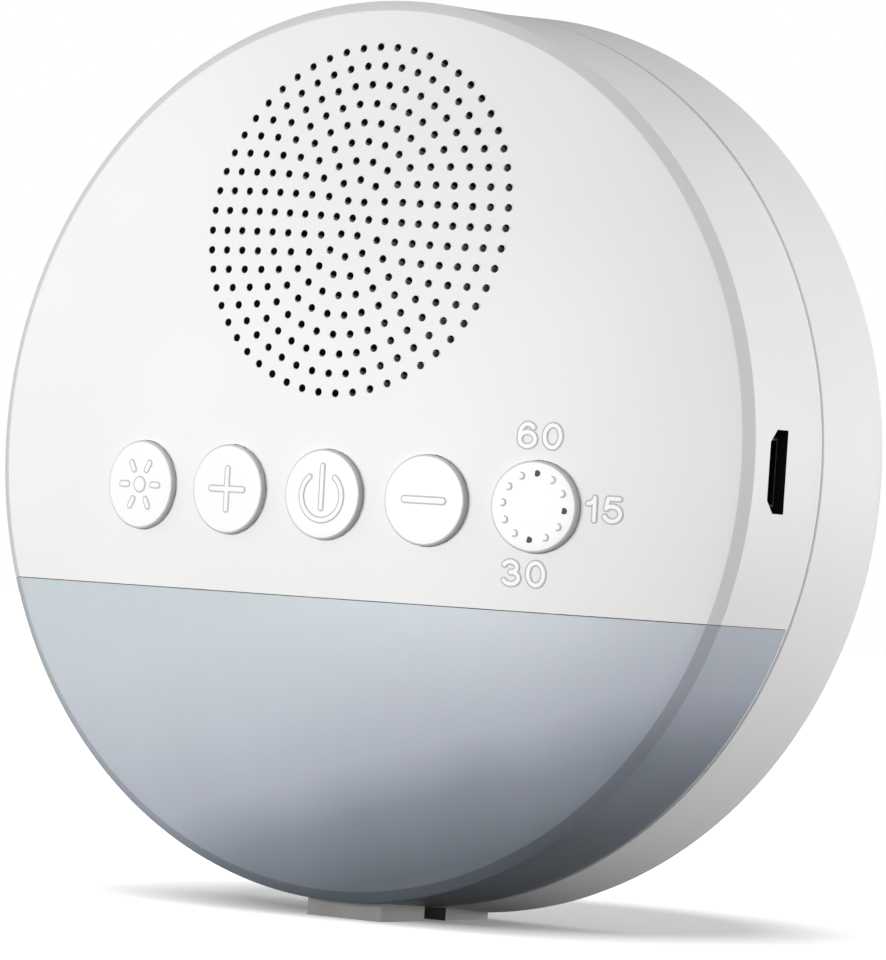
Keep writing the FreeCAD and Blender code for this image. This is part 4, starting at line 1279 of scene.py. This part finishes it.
NODE_MATERIALS = {
    "tray_plastic": tray_abs,
    "foot_rubber": foot_rubber,
    "cloth": grille_cloth,
    "foam": black_foam,
    "stamped_steel": zinc_steel,
    "ferrite": ferrite,
    "copper": copper_wire,
    "cone_paper": cone_paper,
    "spider_cloth": spider_cloth,
    "switch_plastic": black_nylon,
    "board": board_mask,
    "lamp_board_mask": white_mask,
    "led_resin": led_resin,
    "can_metal": bright_can,
    "connector_nylon": natural_nylon,
    "socket_steel": dark_plating,
    "cell_foil": cell_foil,
    "wire": red_wire,
    "case_plastic": white_abs,
    "cap_plastic": cap_abs,
    "diffuser_plastic": lamp_painted_shade_plastic,
}


def dress_nodes():
    """Gives every carried-over node the material of its slot in the record."""
    for entry in frame["record"]["subparts"]:
        node = frame["nodes"][entry["node"]]
        node.data.materials.clear()
        node.data.materials.append(NODE_MATERIALS[entry["material_slot"]])


# Room, light and camera; lengths in metres and power in watts

WHITE = (1, 1, 1, 1)
FLOOR_HALF = 6.0
# The floor as the camera sees it, and as it throws light back on the case
PALE_FLOOR = "#F4F4F4"
DULL_FLOOR = "#8E8E8E"
# The floor's own light, for the camera alone: little where the case's shadow lies, which leaves a painted
# shadow there, full further off
NEAR_GLOW = 0.1
FAR_GLOW = 1.0
SHADOW_PATCH_MIDDLE = (-0.004, 0.03, 0.0)
GLOW_START = 0.03
GLOW_END = 0.06
ROOM_STRENGTH = 0.3

# The camera's place from the front's apex in millimetres, its aim and its lean, worked out from
# the outlines and the grille in the photograph
CAMERA_SIDE = 337.1
CAMERA_DEPTH = -490.0
CAMERA_HEIGHT = -16.3
CAMERA_FORWARD = Vector((-0.5477, 0.8364, 0.0225))
CAMERA_LEAN = math.radians(3.95)
CAMERA_LENS = 199.57
SENSOR_WIDE = 36


def seen_directly(tree):
    """A value that is 1 for what the camera sees, also through clear things, and else 0."""
    rays = add(tree, "ShaderNodeLightPath")
    seen = add(
        tree,
        "ShaderNodeMath",
        {"operation": "MAXIMUM"},
        {0: rays.outputs["Is Camera Ray"], 1: rays.outputs["Is Transmission Ray"]},
    )
    return seen.outputs["Value"]


def floor_material():
    """Matt floor: pale, with a painted shadow round the case, brighter with distance to the camera, dull to
    every other ray.
    """
    made, tree = blank_material("pale_floor")
    seen = seen_directly(tree)
    place = add(tree, "ShaderNodeTexCoord")
    reach = add(
        tree, "ShaderNodeVectorMath", {"operation": "DISTANCE", 1: SHADOW_PATCH_MIDDLE}, {0: place.outputs["Object"]}
    )
    spread = add(
        tree,
        "ShaderNodeMapRange",
        {"From Min": GLOW_START, "From Max": GLOW_END, "To Min": NEAR_GLOW, "To Max": FAR_GLOW},
        {"Value": reach.outputs["Value"]},
    )
    share = add(tree, "ShaderNodeMath", {"operation": "MULTIPLY"}, {0: seen, 1: spread.outputs["Result"]})
    pale = add(tree, "ShaderNodeBsdfDiffuse", {"Color": linear(PALE_FLOOR)})
    dull = add(tree, "ShaderNodeBsdfDiffuse", {"Color": linear(DULL_FLOOR)})
    matte = add(
        tree, "ShaderNodeMixShader", {}, {0: seen, 1: dull.outputs["BSDF"], 2: pale.outputs["BSDF"]}
    )
    glow = add(tree, "ShaderNodeEmission", {"Color": WHITE}, {"Strength": share.outputs["Value"]})
    both = add(
        tree, "ShaderNodeAddShader", {}, {0: matte.outputs["Shader"], 1: glow.outputs["Emission"]}
    )
    add(tree, "ShaderNodeOutputMaterial", {}, {"Surface": both.outputs["Shader"]})
    return made


def make_floor():
    """The floor that the case stands on."""
    half = FLOOR_HALF
    mesh = bpy.data.meshes.new("floor")
    corners = [(-half, -half, 0), (half, -half, 0), (half, half, 0), (-half, half, 0)]
    mesh.from_pydata(corners, [], [(0, 1, 2, 3)])
    mesh.materials.append(floor_material())
    floor = bpy.data.objects.new("floor", mesh)
    bpy.context.scene.collection.objects.link(floor)


def make_room():
    """A dim, even room that the camera sees as white."""
    world = bpy.data.worlds.new("studio")
    bpy.context.scene.world = world
    world.use_nodes = True
    tree = world.node_tree
    tree.nodes.clear()
    fill = add(tree, "ShaderNodeBackground", {"Color": WHITE, "Strength": ROOM_STRENGTH})
    white = add(tree, "ShaderNodeBackground", {"Color": WHITE, "Strength": 1.0})
    mix = add(
        tree,
        "ShaderNodeMixShader",
        {},
        {0: seen_directly(tree), 1: fill.outputs["Background"], 2: white.outputs["Background"]},
    )
    add(tree, "ShaderNodeOutputWorld", {}, {"Surface": mix.outputs["Shader"]})


def soft_light(name, place, target, width, height, power):
    """A soft box at a place, facing a target."""
    lamp = bpy.data.lights.new(name, "AREA")
    lamp.shape = "RECTANGLE"
    lamp.size = width
    lamp.size_y = height
    lamp.energy = power
    holder = bpy.data.objects.new(name, lamp)
    bpy.context.scene.collection.objects.link(holder)
    holder.location = place
    holder.rotation_euler = (Vector(target) - Vector(place)).to_track_quat("-Z", "Y").to_euler()


def make_lights():
    """Broad boxes left, right and overhead, and two small low ones for the lamp and the side."""
    middle = (0, 0, AXIS)
    lamp_middle = (0.0, -0.02, 0.04)
    lamp_low = (0.0, -0.02, 0.03)
    soft_light("left_box", (-0.75, -0.3, 0.35), lamp_middle, 0.5, 0.5, 1.05)
    soft_light("low_front_strip", (-0.1, -0.4, 0.05), lamp_low, 0.25, 0.1, 1.2)
    soft_light("right_box", (0.8, 0.1, 0.3), middle, 0.5, 0.6, 0.8)
    soft_light("low_right_box", (0.7, 0.3, 0.1), middle, 0.4, 0.2, 3.4)
    soft_light("overhead_box", (0.0, 0.1, 1.0), (0.0, 0.0, 0.0), 0.9, 0.9, 1.0)


def make_camera():
    """The camera of the photograph, which leans a little to one side."""
    camera = bpy.data.cameras.new("camera")
    camera.lens = CAMERA_LENS
    camera.sensor_width = SENSOR_WIDE
    camera.sensor_fit = "AUTO"
    holder = bpy.data.objects.new("camera", camera)
    bpy.context.scene.collection.objects.link(holder)
    forward = CAMERA_FORWARD.normalized()
    level = forward.cross(Vector((0, 0, 1))).normalized()
    upright = level.cross(forward)
    right = level * math.cos(CAMERA_LEAN) + upright * math.sin(CAMERA_LEAN)
    up = right.cross(forward)
    turn = Matrix((right, up, -forward)).transposed().to_4x4()
    holder.matrix_world = Matrix.Translation(spot(CAMERA_SIDE, CAMERA_DEPTH, CAMERA_HEIGHT)) @ turn
    bpy.context.scene.camera = holder


dress_nodes()
case_front("front_case", "front_housing", white_abs, True)
case_front("lamp_cover", "lamp_diffuser", lamp_painted_shade_plastic, False)
rear_case()
for button, middle in BUTTONS.items():
    button_cap(button, middle)
for button, sign in SIGNS.items():
    raise_sign(f"{button}_mark", sign(BUTTONS[button]), CAP_PROUD, f"{button}_key")
for label, (text, middle) in LABELS.items():
    number_label(label, text, middle)
grille_rims()
timer_dots()
case_screws()
make_floor()
make_room()
make_lights()
make_camera()
bpy.context.scene.view_settings.view_transform = "Standard"
